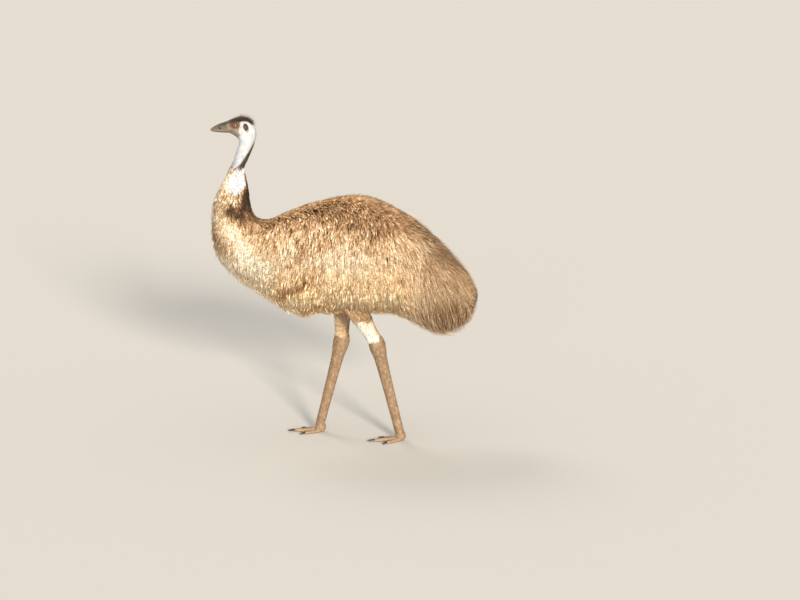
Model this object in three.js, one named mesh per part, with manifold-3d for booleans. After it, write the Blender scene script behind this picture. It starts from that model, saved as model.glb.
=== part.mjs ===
// A life-size adult emu standing mid-stride, facing -Y, its left side towards +X.
// Millimetres, +Z up, floor at z = 0. Every solid is drawn to the tips of the plumage.
import * as THREE from "three";
import { mergeVertices } from "three/addons/utils/BufferGeometryUtils.js";
import Module from "manifold-3d";

const wasm = await Module();
wasm.setup();

// ---------------------------------------------------------------- driving sizes
const GAP = 0.3; // clearance between neighbouring solids
const BODY_SIDES = 22; // points round the head, neck and trunk
const LEG_SIDES = 12;

// The body is one long loft. Each station is a plane across it: the dorsal (back) edge d and
// ventral (throat, breast, belly) edge v as [y, z], half width w, how much lower than the
// middle the widest level sits (drop), and how square the lower half is (flat).
const STATIONS = {
  face:        { d: [-541, 1501], v: [-527, 1449], w: 25, drop: 0.18, flat: 0.95 },
  lores:       { d: [-517, 1510], v: [-510, 1441], w: 31, drop: 0.12, flat: 0.95 },
  eye:         { d: [-489, 1519], v: [-494, 1431], w: 36, drop: 0.05, flat: 0.95 },
  crown:       { d: [-456, 1524], v: [-484, 1420], w: 38, drop: 0.02, flat: 1.0 },
  ear:         { d: [-424, 1512], v: [-479, 1410], w: 37, drop: 0.02, flat: 1.0 },
  nape:        { d: [-403, 1480], v: [-480, 1398], w: 34, drop: 0.0, flat: 1.0 },
  throat:      { d: [-399, 1438], v: [-485, 1384], w: 32, drop: 0.0, flat: 1.0 },
  neck_top:    { d: [-413, 1389], v: [-494, 1360], w: 31, drop: 0.0, flat: 1.0 },
  neck_high:   { d: [-436, 1334], v: [-509, 1318], w: 30, drop: 0.0, flat: 1.0 },
  neck_thin:   { d: [-455, 1288], v: [-529, 1279], w: 32, drop: 0.0, flat: 1.0 },
  collar:      { d: [-449, 1244], v: [-553, 1229], w: 44, drop: 0.0, flat: 1.0 },
  neck_mid:    { d: [-438, 1192], v: [-584, 1178], w: 62, drop: 0.0, flat: 1.0 },
  neck_low:    { d: [-430, 1132], v: [-611, 1108], w: 82, drop: 0.0, flat: 1.0 },
  neck_root:   { d: [-417, 1079], v: [-617, 1026], w: 103, drop: 0.02, flat: 1.0 },
  shoulder:    { d: [-383, 1048], v: [-610, 942], w: 130, drop: 0.05, flat: 1.0 },
  breast:      { d: [-333, 1049], v: [-577, 848], w: 158, drop: 0.08, flat: 1.0 },
  keel:        { d: [-262, 1084], v: [-497, 762], w: 184, drop: 0.1, flat: 0.97 },
  fore_back:   { d: [-172, 1119], v: [-388, 686], w: 205, drop: 0.12, flat: 0.93 },
  wing_tip:    { d: [-82, 1144], v: [-262, 607], w: 219, drop: 0.13, flat: 0.88 },
  loin:        { d: [4, 1161], v: [-130, 587], w: 228, drop: 0.14, flat: 0.84 },
  hump:        { d: [88, 1164], v: [10, 601], w: 232, drop: 0.14, flat: 0.82 },
  hip:         { d: [168, 1143], v: [130, 597], w: 231, drop: 0.14, flat: 0.82 },
  rump:        { d: [246, 1105], v: [236, 592], w: 226, drop: 0.14, flat: 0.84 },
  rump_low:    { d: [322, 1057], v: [320, 560], w: 216, drop: 0.14, flat: 0.88 },
  tail_root:   { d: [397, 994], v: [393, 524], w: 203, drop: 0.13, flat: 0.92 },
  tail_mid:    { d: [470, 924], v: [464, 503], w: 184, drop: 0.12, flat: 0.96 },
  tail_low:    { d: [537, 853], v: [529, 513], w: 156, drop: 0.1, flat: 1.0 },
  tail_end:    { d: [591, 789], v: [583, 554], w: 120, drop: 0.06, flat: 1.0 },
  tail_tip:    { d: [625, 728], v: [619, 611], w: 72, drop: 0.0, flat: 1.0 },
  tail_close:  { d: [635, 683], v: [633, 657], w: 16, drop: 0.0, flat: 1.0 },
};
const NAMES = Object.keys(STATIONS);
const at = (name) => NAMES.indexOf(name);

// Bill: the gape line, and along it [share of the way, half width, rise of the culmen above
// the line, depth of the lower half below it]
const BILL = {
  base: [-506, 1459], // y, z of the corner of the gape
  tip: [-613, 1460],
  sag: 2.5,
  keys: [
    [0, 25.5, 53, 10.5],
    [0.2, 24.2, 47.5, 9],
    [0.4, 21.5, 41, 7.5],
    [0.6, 17.8, 33.5, 6.3],
    [0.8, 13.2, 22.5, 5],
    [0.93, 8.8, 12.5, 3.6],
    [1, 4.4, 4.5, 1.8],
  ],
};
const EYE = { r: 15, y: -496, z: 1486, x: 24 };
const EAR = { y: -447, z: 1477, x: 36.5, along: 15, across: 9, deep: 9, tilt: 0.35 };
const NOSTRIL = { y: -570, z: 1471, x: 16.5, long: 9, tall: 3.4, deep: 4 };
const BROW = { x: 24.5, y: -490, z: 1497.5, out: 9, long: 27, tall: 9 };

// Wings: small and drooping, each lying in the plumage of the flank
const WING = { y: -295, z: 850, x: 189, half: 138, wide: 52, thick: 27, lean: 0.604, toe: 0.06, roll: 0.07 };

// Legs, as [x, y, z]. The right leg (-X) swings forward, the left leg (+X) trails.
const LEGS = {
  left: { knee: [112, -50, 826], hock: [96, 155, 468], ankle: [92, 262, 37], toe_out: 0.14 },
  right: { knee: [-112, 2, 858], hock: [-96, -10, 447], ankle: [-92, -117, 36], toe_out: 0.06 },
};
// [share of the way, half width, half depth]
const SHANK = [[0, 62, 80], [0.35, 54, 68], [0.62, 38, 46], [0.8, 29, 36], [0.92, 27, 33.5], [1, 29, 36]];
const TARSUS = [[-0.1, 11, 15], [-0.085, 20, 26], [-0.05, 28.5, 36], [0, 31.5, 40], [0.06, 30, 38], [0.16, 24.5, 31], [0.34, 21.5, 27.5], [0.6, 19.5, 25], [0.84, 20, 23], [0.94, 25.5, 23], [1, 27, 22]];
// Toes: direction from straight ahead, length to the claw, claw length, and start offset to the side
const TOES = {
  inner: { turn: -0.56, length: 84, claw: 27, side: -13, scale: 0.9 },
  middle: { turn: 0, length: 124, claw: 31, side: 0, scale: 1.08 },
  outer: { turn: 0.56, length: 86, claw: 25, side: 13, scale: 0.9 },
};
const PAD = { x: 25, y: 27, z: 27, back: 3, lift: 25 }; // under the end of the tarsus
const TOE_PAD = { halfWidth: 13.2, height: 23, tipHeight: 15.5, sink: 1.6 };

// ---------------------------------------------------------------- materials
const paint = (hex, roughness) => new THREE.MeshStandardMaterial({ color: hex, roughness, metalness: 0 });
const MATERIALS = {
  plumage: paint(0x8f7052, 0.9),
  neck_skin: paint(0xcfdde2, 0.7),
  face: paint(0x50463f, 0.8),
  bill: paint(0x4a423c, 0.45),
  eye: paint(0x8e4318, 0.1),
  scales: paint(0x86705a, 0.65),
  claw: paint(0x2c2826, 0.4),
};

// ---------------------------------------------------------------- curves and lofts
// Uniform Catmull-Rom through the values, u counted in stations.
function through(values, u) {
  const last = values.length - 1;
  const i = Math.min(Math.max(Math.floor(u), 0), last - 1);
  const f = Math.min(Math.max(u - i, 0), 1);
  const a = values[Math.max(i - 1, 0)], b = values[i], c = values[i + 1], d = values[Math.min(i + 2, last)];
  return 0.5 * (2 * b + (c - a) * f + (2 * a - 5 * b + 4 * c - d) * f * f + (3 * b - a - 3 * c + d) * f * f * f);
}
// Linear keys [share, ...values], eased between by the same curve over the key index.
function keyed(keys, share, column) {
  let i = 0;
  while (i < keys.length - 2 && share > keys[i + 1][0]) i++;
  const f = (share - keys[i][0]) / (keys[i + 1][0] - keys[i][0]);
  return through(keys.map((k) => k[column]), i + Math.min(Math.max(f, 0), 1));
}
const power = (value, exponent) => Math.sign(value) * Math.abs(value) ** exponent;

// A closed skin over rings that all have the same number of points, with flat fans on both ends.
function skinOver(rings) {
  const sides = rings[0].length;
  const points = rings.flat();
  const index = [];
  const id = (r, s) => r * sides + ((s + sides) % sides);
  for (let r = 0; r + 1 < rings.length; r++)
    for (let s = 0; s < sides; s++)
      index.push(id(r, s), id(r, s + 1), id(r + 1, s), id(r, s + 1), id(r + 1, s + 1), id(r + 1, s));
  for (const [r, turn] of [[0, 1], [rings.length - 1, -1]]) {
    const middle = rings[r].reduce((sum, p) => sum.add(p), new THREE.Vector3()).divideScalar(sides);
    points.push(middle);
    const m = points.length - 1;
    for (let s = 0; s < sides; s++)
      turn > 0 ? index.push(id(r, s + 1), id(r, s), m) : index.push(id(r, s), id(r, s + 1), m);
  }
  const geometry = new THREE.BufferGeometry().setFromPoints(points);
  geometry.setIndex(index);
  return geometry;
}

function solid(geometry) {
  const bare = geometry.index ? geometry.clone() : geometry;
  bare.deleteAttribute("normal");
  bare.deleteAttribute("uv");
  const merged = mergeVertices(bare, 1e-4);
  let made = new wasm.Manifold(new wasm.Mesh({
    numProp: 3,
    vertProperties: new Float32Array(merged.attributes.position.array),
    triVerts: new Uint32Array(merged.index.array),
  }));
  if (made.volume() < 0) {
    const turned = new Uint32Array(merged.index.array);
    for (let i = 0; i < turned.length; i += 3) [turned[i + 1], turned[i + 2]] = [turned[i + 2], turned[i + 1]];
    made = new wasm.Manifold(new wasm.Mesh({ numProp: 3, vertProperties: new Float32Array(merged.attributes.position.array), triVerts: turned }));
  }
  return made;
}

// One ring of the body at station position u, grown outwards by grow.
function bodyRing(u, grow = 0) {
  const get = (pick) => through(NAMES.map((n) => pick(STATIONS[n])), u);
  const d = new THREE.Vector3(0, get((s) => s.d[0]), get((s) => s.d[1]));
  const v = new THREE.Vector3(0, get((s) => s.v[0]), get((s) => s.v[1]));
  const middle = d.clone().add(v).multiplyScalar(0.5);
  const half = d.clone().sub(v).multiplyScalar(0.5);
  const tall = half.length();
  half.multiplyScalar((tall + grow) / tall);
  const w = get((s) => s.w) + grow;
  const drop = get((s) => s.drop), flat = get((s) => s.flat);
  const ring = [];
  for (let s = 0; s < BODY_SIDES; s++) {
    const angle = (2 * Math.PI * s) / BODY_SIDES;
    const c = Math.cos(angle), h = c < 0 ? power(c, flat) : c;
    const x = w * Math.sin(angle) * (1 - drop * h);
    ring.push(middle.clone().addScaledVector(half, h).add(new THREE.Vector3(x, 0, 0)));
  }
  return ring;
}
// The body between two stations, in rings of about the given step.
function bodySpan(from, to, step, grow = 0, inset = 0) {
  const count = Math.max(2, Math.round((to - from) / step));
  const rings = [];
  for (let i = 0; i <= count; i++) {
    const u = from + inset + ((to - from - 2 * inset) * i) / count;
    rings.push(bodyRing(u, grow));
  }
  return solid(skinOver(rings));
}

// A limb: rings across the straight line a to b, from keys [share, half width, half depth].
function limb(a, b, keys, steps, sides, grow = 0, ends = [0, 1]) {
  const A = new THREE.Vector3(...a), B = new THREE.Vector3(...b);
  const along = B.clone().sub(A);
  const length = along.length();
  along.normalize();
  const fore = new THREE.Vector3(1, 0, 0).cross(along).normalize();
  const side = along.clone().cross(fore).normalize();
  const rings = [];
  for (let i = 0; i <= steps; i++) {
    const share = ends[0] + ((ends[1] - ends[0]) * i) / steps;
    const wide = keyed(keys, share, 1) + grow, deep = keyed(keys, share, 2) + grow;
    const centre = A.clone().addScaledVector(along, share * length);
    const ring = [];
    for (let s = 0; s < sides; s++) {
      const angle = (2 * Math.PI * s) / sides;
      ring.push(centre.clone().addScaledVector(side, wide * Math.cos(angle)).addScaledVector(fore, deep * Math.sin(angle)));
    }
    rings.push(ring);
  }
  return solid(skinOver(rings));
}

function ellipsoid(rx, ry, rz, matrix, across = 16, up = 10) {
  const g = new THREE.SphereGeometry(1, across, up);
  g.scale(rx, ry, rz);
  g.applyMatrix4(matrix);
  return solid(g);
}
const placed = (x, y, z, rx = 0, ry = 0, rz = 0) =>
  new THREE.Matrix4().compose(new THREE.Vector3(x, y, z), new THREE.Quaternion().setFromEuler(new THREE.Euler(rx, ry, rz)), new THREE.Vector3(1, 1, 1));

const floorBlock = (() => {
  const g = new THREE.BoxGeometry(3000, 3000, 200);
  g.translate(0, 0, -100);
  return solid(g);
})();

// ---------------------------------------------------------------- scene tree
const emu = new THREE.Group();
emu.name = "emu";
const bird = new THREE.Group();
emu.add(bird);
const groups = {
  torso: [0, 60, 880],
  neck: [0, -500, 1140],
  head: [0, -455, 1440],
  leg_left: LEGS.left.ankle,
  leg_right: LEGS.right.ankle,
};
for (const [name, place] of Object.entries(groups)) {
  groups[name] = new THREE.Group();
  groups[name].position.set(...place);
  bird.add(groups[name]);
}
// Adds a finished solid, made in the bird's own frame, to one of the groups.
function add(name, made, material, group) {
  const m = made.getMesh();
  const position = new Float32Array(m.numVert * 3);
  for (let i = 0; i < m.numVert; i++)
    for (let k = 0; k < 3; k++) position[3 * i + k] = m.vertProperties[i * m.numProp + k];
  const geometry = new THREE.BufferGeometry().setAttribute("position", new THREE.BufferAttribute(position, 3));
  geometry.setIndex(new THREE.BufferAttribute(new Uint32Array(m.triVerts), 1));
  const p = groups[group].position;
  geometry.translate(-p.x, -p.y, -p.z);
  geometry.computeVertexNormals();
  const mesh = new THREE.Mesh(geometry, MATERIALS[material]);
  mesh.name = name;
  groups[group].add(mesh);
}
const largest = (made) => made.simplify(0.05).decompose().reduce((a, b) => (a.volume() > b.volume() ? a : b));

// ---------------------------------------------------------------- head
// Bill halves: the upper one arches to the culmen, the lower one is a shallow keel.
function billHalf(upper, grow = 0) {
  const rings = [];
  const sides = 14;
  const shares = [0, 0.13, 0.26, 0.4, 0.54, 0.68, 0.8, 0.9, 0.965, 1];
  shares.forEach((share, i) => {
    const end = i === 0 ? -grow : i === shares.length - 1 ? grow : 0;
    const reach = share * (upper ? 1 : 0.965);
    const y = BILL.base[0] + (BILL.tip[0] - BILL.base[0]) * reach - end;
    const gape = BILL.base[1] + (BILL.tip[1] - BILL.base[1]) * reach - BILL.sag * Math.sin(Math.PI * reach);
    const w = keyed(BILL.keys, share, 1) * (upper ? 1 : 0.9) + grow;
    const tall = keyed(BILL.keys, share, upper ? 2 : 3) + grow;
    const ring = [];
    for (let s = 0; s < sides; s++) {
      const angle = (2 * Math.PI * s) / sides;
      const c = Math.cos(angle), n = Math.sin(angle);
      const arch = n > 1e-9 ? tall * n ** (upper ? 1.2 : 1) : -grow;
      const rise = upper ? gape + GAP / 2 + arch : gape - GAP / 2 - arch;
      ring.push(new THREE.Vector3(w * power(c, upper ? 0.9 : 0.85), y, rise));
    }
    rings.push(ring);
  });
  return solid(skinOver(rings));
}
const billUpper = billHalf(true), billLower = billHalf(false);
const eyeBall = (side, grow) => ellipsoid(EYE.r + grow, EYE.r + grow, EYE.r + grow, placed(side * EYE.x, EYE.y, EYE.z), 12, 8);
const earHole = (side, grow) =>
  ellipsoid(EAR.deep + grow, EAR.across + grow, EAR.along + grow, placed(side * EAR.x, EAR.y, EAR.z, EAR.tilt, 0, 0), 10, 6);
const CUT = 0.0025; // of a station, on both sides of a cut

let head = bodySpan(at("face"), at("neck_top") - 0.45, 0.5, 0, CUT);
// the brow ridge shades the eye
for (const side of [1, -1])
  head = head.add(ellipsoid(BROW.out, BROW.long, BROW.tall, placed(side * BROW.x, BROW.y, BROW.z, 0.1, 0, -side * 0.12), 12, 8));
for (const side of [1, -1]) {
  head = head.subtract(eyeBall(side, GAP));
  head = head.subtract(earHole(side, GAP));
}
head = largest(head.subtract(billHalf(true, GAP)).subtract(billHalf(false, GAP)));
let upper = billUpper;
for (const side of [1, -1]) {
  upper = upper.subtract(ellipsoid(NOSTRIL.deep, NOSTRIL.long, NOSTRIL.tall, placed(side * NOSTRIL.x, NOSTRIL.y, NOSTRIL.z, -0.12, 0, side * 0.18), 10, 8));
  upper = upper.subtract(eyeBall(side, GAP));
}
add("head", head, "face", "head");
add("bill_upper", largest(upper), "bill", "head");
add("bill_lower", largest(billLower), "bill", "head");
for (const [name, side] of [["left", 1], ["right", -1]]) {
  add("eye_" + name, eyeBall(side, 0), "eye", "head");
  // the dark tuft that fills the ear opening, just under the level of the cheek
  add("ear_" + name, largest(earHole(side, 0).intersect(bodySpan(at("crown"), at("throat"), 0.5, -1.4, CUT))), "face", "head");
}

// ---------------------------------------------------------------- neck and trunk
add("neck_upper", bodySpan(at("neck_top") - 0.45, at("collar"), 0.5, 0, CUT), "neck_skin", "neck");
add("neck_middle", bodySpan(at("collar"), at("neck_low"), 0.5, 0, CUT), "plumage", "neck");
add("neck_lower", bodySpan(at("neck_low"), at("breast"), 0.5, 0, CUT), "plumage", "neck");

// A wing lies on the flank like a long drooping leaf, tip down and back.
function wing(side, grow) {
  const turn = new THREE.Matrix4()
    .makeRotationX(WING.lean)
    .premultiply(new THREE.Matrix4().makeRotationY(-side * WING.roll))
    .premultiply(new THREE.Matrix4().makeRotationZ(-side * WING.toe))
    .setPosition(side * WING.x, WING.y, WING.z);
  const rings = [], steps = 8, sides = 12;
  for (let i = 0; i <= steps; i++) {
    const share = i / steps;
    const full = Math.sin(Math.PI * Math.min(Math.max(0.04 + 0.93 * share ** 1.25, 0), 1)) ** 0.62;
    const ring = [];
    for (let s = 0; s < sides; s++) {
      const angle = (2 * Math.PI * s) / sides;
      ring.push(new THREE.Vector3(
        side * (WING.thick * full + grow) * Math.sin(angle),
        (WING.wide * full + grow) * Math.cos(angle),
        -WING.half - grow + 2 * (WING.half + grow) * share,
      ).applyMatrix4(turn));
    }
    rings.push(ring);
  }
  return solid(skinOver(rings));
}
let trunk = bodySpan(at("breast"), at("rump_low"), 0.5, 0, CUT);
for (const [name, side] of [["left", 1], ["right", -1]]) {
  trunk = trunk.subtract(wing(side, GAP));
  add("wing_" + name, wing(side, 0), "plumage", "torso");
}
add("trunk", largest(trunk), "plumage", "torso");
add("tail", bodySpan(at("rump_low"), at("tail_close"), 0.65, 0, CUT), "plumage", "torso");

// ---------------------------------------------------------------- legs
const trunkShell = bodySpan(at("breast"), at("rump_low") + 0.6, 0.5, GAP * 1.6, 0);
for (const [name, leg] of Object.entries(LEGS)) {
  const side = Math.sign(leg.knee[0]);
  const group = "leg_" + name;
  // tarsus: the scaled shank of the foot, from the hock down to the pad under its end
  const pad = (grow) => ellipsoid(PAD.x + grow, PAD.y + grow, PAD.z + grow, placed(leg.ankle[0], leg.ankle[1] + PAD.back, PAD.lift), 10, 8);
  const tarsus = (grow) => limb(leg.hock, leg.ankle, TARSUS, 14, LEG_SIDES, grow, [-0.1 - grow / 400, 1]).add(pad(grow));
  const bare = tarsus(GAP);
  add(name + "_tarsus", largest(tarsus(0).subtract(floorBlock)), "scales", group);
  // feathered drumstick, from under the flank down to the hock
  const shank = limb(leg.knee, leg.hock, SHANK, 8, LEG_SIDES, 0, [0.3, 0.95]);
  add(name + "_shank", largest(shank.subtract(trunkShell).subtract(bare)), "plumage", group);

  // Three toes spread from the pad, each ending in a blunt claw.
  const run = (key) => {
    const toe = TOES[key];
    const turn = side * (leg.toe_out + toe.turn);
    return {
      toe,
      ahead: new THREE.Vector3(Math.sin(turn), -Math.cos(turn), 0),
      across: new THREE.Vector3(Math.cos(turn), Math.sin(turn), 0),
      start: new THREE.Vector3(leg.ankle[0] + side * toe.side * 0.5, leg.ankle[1], 0),
    };
  };
  const toeSolid = (key, grow) => {
    const { toe, ahead, across, start } = run(key);
    const rings = [], steps = 8, sides = 8;
    for (let i = 0; i <= steps; i++) {
      const share = i / steps;
      // the toe swells between its joints
      const pads = 1 + 0.08 * Math.sin(share * Math.PI * 2 * (key === "middle" ? 2.7 : 1.9) + 0.9);
      const round = Math.min(1, 0.7 + 2.6 * (1 - share));
      const wide = TOE_PAD.halfWidth * toe.scale * pads * (1.08 - 0.32 * share) * round + grow;
      const height = (TOE_PAD.height + (TOE_PAD.tipHeight - TOE_PAD.height) * share) * toe.scale * (0.92 + 0.08 * pads);
      const centre = start.clone().addScaledVector(ahead, toe.length * share + (i === steps ? grow : 0)).setZ(height / 2 - TOE_PAD.sink);
      rings.push(Array.from({ length: sides }, (_, s) => {
        const angle = (2 * Math.PI * s) / sides;
        return centre.clone().addScaledVector(across, wide * Math.cos(angle)).add(new THREE.Vector3(0, 0, ((height / 2) * round + grow) * Math.sin(angle)));
      }));
    }
    return solid(skinOver(rings));
  };
  const clawSolid = (key) => {
    const { toe, ahead, across, start } = run(key);
    const rings = [], steps = 5, sides = 8;
    for (let i = 0; i <= steps; i++) {
      const share = i / steps;
      const taper = 0.14 + 0.86 * Math.sqrt(1 - share ** 1.8);
      const centre = start.clone().addScaledVector(ahead, toe.length + GAP * 1.5 + toe.claw * share).setZ(7.2 * toe.scale - 3.2 * share ** 2);
      rings.push(Array.from({ length: sides }, (_, s) => {
        const angle = (2 * Math.PI * s) / sides;
        return centre.clone()
          .addScaledVector(across, 6.6 * toe.scale * taper * Math.cos(angle))
          .add(new THREE.Vector3(0, 0, 6.2 * toe.scale * taper * Math.sin(angle)));
      }));
    }
    return solid(skinOver(rings));
  };
  const order = ["middle", "outer", "inner"];
  order.forEach((key, n) => {
    let toe = toeSolid(key, 0).subtract(bare).subtract(floorBlock);
    for (const before of order.slice(0, n)) toe = toe.subtract(toeSolid(before, GAP));
    add(name + "_toe_" + key, largest(toe), "scales", group);
    add(name + "_claw_" + key, largest(clawSolid(key).subtract(floorBlock)), "claw", group);
  });
}

// ---------------------------------------------------------------- the frame
// Origin on the floor under the middle of the whole bird.
emu.updateMatrixWorld(true);
const box = new THREE.Box3().setFromObject(emu);
bird.position.set(-(box.min.x + box.max.x) / 2, -(box.min.y + box.max.y) / 2, -box.min.z);
emu.updateMatrixWorld(true);

export default emu;
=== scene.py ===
"""An adult emu, mid-stride: one skin, loose plumage as solid strands, bill, eyes and claws."""
import math

import bpy
import numpy as np
from mathutils import Matrix, Vector


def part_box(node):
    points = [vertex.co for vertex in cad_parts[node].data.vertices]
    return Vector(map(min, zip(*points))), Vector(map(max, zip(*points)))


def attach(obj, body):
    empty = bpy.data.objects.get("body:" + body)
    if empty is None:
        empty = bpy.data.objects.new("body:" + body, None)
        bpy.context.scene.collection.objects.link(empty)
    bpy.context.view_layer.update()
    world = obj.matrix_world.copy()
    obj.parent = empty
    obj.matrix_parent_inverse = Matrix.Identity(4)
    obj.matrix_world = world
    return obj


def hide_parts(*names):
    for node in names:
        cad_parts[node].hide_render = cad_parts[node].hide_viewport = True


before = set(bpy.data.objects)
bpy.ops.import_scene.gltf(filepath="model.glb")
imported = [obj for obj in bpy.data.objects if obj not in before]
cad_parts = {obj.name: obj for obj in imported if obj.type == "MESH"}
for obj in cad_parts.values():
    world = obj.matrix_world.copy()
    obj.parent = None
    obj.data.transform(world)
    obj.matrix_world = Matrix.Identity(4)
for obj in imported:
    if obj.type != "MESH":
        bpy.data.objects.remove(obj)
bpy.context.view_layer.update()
rng = np.random.default_rng(20)
MM = 0.001
# the solids are centred on their box, so the bird's own y moves by this much (mm)
SHIFT_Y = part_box("bill_upper")[0].y / MM + 613.0

# ------------------------------------------------------------------ camera and light
EYE_POINT = (8.8766, 0.0, 2.2454)
YAW, PITCH = math.radians(1.7135), math.radians(10.1325)
camera_data = bpy.data.cameras.new("camera")
camera_data.sensor_width = 36.0
camera_data.lens = 36.0 * 1914.9 / 800.0
camera_data.clip_end = 400.0
camera = bpy.data.objects.new("camera", camera_data)
bpy.context.scene.collection.objects.link(camera)
ahead = Vector((-math.cos(PITCH) * math.cos(YAW), math.cos(PITCH) * math.sin(YAW), -math.sin(PITCH)))
right = ahead.cross(Vector((0, 0, 1))).normalized()
over = right.cross(ahead)
camera.matrix_world = Matrix((
    (right.x, over.x, -ahead.x, EYE_POINT[0]),
    (right.y, over.y, -ahead.y, EYE_POINT[1] + SHIFT_Y * MM),
    (right.z, over.z, -ahead.z, EYE_POINT[2]),
    (0, 0, 0, 1),
))
bpy.context.scene.camera = camera


def srgb(r, g, b):
    c = np.array([r, g, b], float) / 255.0
    return np.where(c <= 0.04045, c / 12.92, ((c + 0.055) / 1.055) ** 2.4)


# ------------------------------------------------------------------ the body's form
# name: dorsal edge (y, z), ventral edge (y, z), half width, drop of the widest level, squareness of
# the lower half; then for the looks: coat depth, length of its strands
STATIONS = [
    ("face", -541, 1501, -527, 1449, 25, 0.18, 0.95, 0.8, 5),
    ("lores", -517, 1510, -510, 1441, 31, 0.12, 0.95, 0.8, 5),
    ("eye", -489, 1519, -494, 1431, 36, 0.05, 0.95, 0.8, 6),
    ("crown", -456, 1524, -484, 1420, 38, 0.02, 1.0, 1.2, 8),
    ("ear", -424, 1512, -479, 1410, 37, 0.02, 1.0, 1.2, 9),
    ("nape", -403, 1480, -480, 1398, 34, 0.0, 1.0, 1.2, 9),
    ("throat", -399, 1438, -485, 1384, 32, 0.0, 1.0, 1.2, 10),
    ("neck_top", -413, 1389, -494, 1360, 31, 0.0, 1.0, 1.5, 12),
    ("neck_high", -436, 1334, -509, 1318, 30, 0.0, 1.0, 2.2, 16),
    ("neck_thin", -455, 1288, -529, 1279, 32, 0.0, 1.0, 4, 22),
    ("collar", -449, 1244, -553, 1229, 44, 0.0, 1.0, 9, 34),
    ("neck_mid", -438, 1192, -584, 1178, 62, 0.0, 1.0, 17, 48),
    ("neck_low", -430, 1132, -611, 1108, 82, 0.0, 1.0, 25, 64),
    ("neck_root", -417, 1079, -617, 1026, 103, 0.02, 1.0, 31, 78),
    ("shoulder", -383, 1048, -610, 942, 130, 0.05, 1.0, 36, 92),
    ("breast", -333, 1049, -577, 848, 158, 0.08, 1.0, 40, 104),
    ("keel", -262, 1084, -497, 762, 184, 0.1, 0.97, 42, 112),
    ("fore_back", -172, 1119, -388, 686, 205, 0.12, 0.93, 42, 118),
    ("wing_tip", -82, 1144, -262, 607, 219, 0.13, 0.88, 42, 120),
    ("loin", 4, 1161, -130, 587, 228, 0.14, 0.84, 42, 122),
    ("hump", 88, 1164, 10, 601, 232, 0.14, 0.82, 42, 124),
    ("hip", 168, 1143, 130, 597, 231, 0.14, 0.82, 44, 128),
    ("rump", 246, 1105, 236, 592, 226, 0.14, 0.84, 52, 138),
    ("rump_low", 322, 1057, 320, 560, 216, 0.14, 0.88, 70, 160),
    ("tail_root", 397, 994, 393, 524, 203, 0.13, 0.92, 98, 190),
    ("tail_mid", 470, 924, 464, 503, 184, 0.12, 0.96, 130, 220),
    ("tail_low", 537, 853, 529, 513, 156, 0.1, 1.0, 150, 240),
    ("tail_end", 591, 789, 583, 554, 120, 0.06, 1.0, 112, 250),
    ("tail_tip", 625, 728, 619, 611, 72, 0.0, 1.0, 68, 250),
    ("tail_close", 635, 683, 633, 657, 16, 0.0, 1.0, 15, 250),
]
NAMES = [s[0] for s in STATIONS]
TABLE = np.array([s[1:] for s in STATIONS], float)
at = NAMES.index
U_END = len(STATIONS) - 1.0
SKIN_END = 25.9


def through(column, u):
    """Catmull-Rom through one column of the stations, at positions u."""
    values = TABLE[:, column]
    last = len(values) - 1
    i = np.clip(np.floor(u).astype(int), 0, last - 1)
    f = np.clip(u - i, 0, 1)
    a, b = values[np.maximum(i - 1, 0)], values[i]
    c, d = values[i + 1], values[np.minimum(i + 2, last)]
    return 0.5 * (2 * b + (c - a) * f + (2 * a - 5 * b + 4 * c - d) * f**2 + (3 * b - a - 3 * c + d) * f**3)


def surf(u, a, grow=0.0):
    """Points (mm, the bird's own frame) of the body at station position u and angle a from the back."""
    u, a = np.broadcast_arrays(np.asarray(u, float), np.asarray(a, float))
    dy, dz, vy, vz = (through(k, u) for k in range(4))
    hy, hz = (dy - vy) / 2, (dz - vz) / 2
    tall = np.hypot(hy, hz)
    w = through(4, u)
    grow = np.maximum(grow, -0.94 * np.minimum(tall, w))
    k = (tall + grow) / tall
    c = np.cos(a)
    h = np.where(c < 0, -np.abs(c) ** through(6, u), c)
    x = (w + grow) * np.sin(a) * (1 - through(5, u) * h)
    return np.stack([x, (dy + vy) / 2 + hy * k * h, (dz + vz) / 2 + hz * k * h], -1)


def tangents(u, a):
    e = 0.02
    lo, hi = np.maximum(u - e, 0), np.minimum(u + e, U_END)
    tu = (surf(hi, a) - surf(lo, a)) / (hi - lo)[..., None]
    ta = (surf(u, a + e) - surf(u, a - e)) / (2 * e)
    n = np.cross(ta, tu)
    n /= np.maximum(np.linalg.norm(n, axis=-1, keepdims=True), 1e-9)
    return tu, ta, n


def smooth(x):
    x = np.clip(x, 0, 1)
    return x * x * (3 - 2 * x)


HAIR = np.array([0, 1.5, 7, 12, 9, 3, 1.2, 1.2, 1.5, 2] + [0] * 20, float)


def depth(u, a):
    """Depth of the coat over the skin (mm)."""
    hair = np.interp(u, np.arange(len(HAIR)), HAIR) * np.maximum(np.cos(a), 0) ** 3
    return np.interp(u, np.arange(len(TABLE)), TABLE[:, 7]) + hair


def wave(p, scale, seed, octaves=2):
    """Smooth repeatable noise from -1 to 1 at points p (mm)."""
    total, weight = 0.0, 0.0
    for o in range(octaves):
        r = np.random.default_rng(seed * 31 + o)
        k = r.normal(size=(7, 3))
        k /= np.linalg.norm(k, axis=1, keepdims=True)
        k *= (r.uniform(0.7, 1.35, (7, 1)) * 2 * math.pi / scale) * 2**o
        phase = r.uniform(0, 6.283, 7)
        total = total + np.sin(p @ k.T + phase).sum(-1) / 3.2 / 1.7**o
        weight += 1 / 1.7**o
    return np.clip(total / weight, -1, 1)


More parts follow.
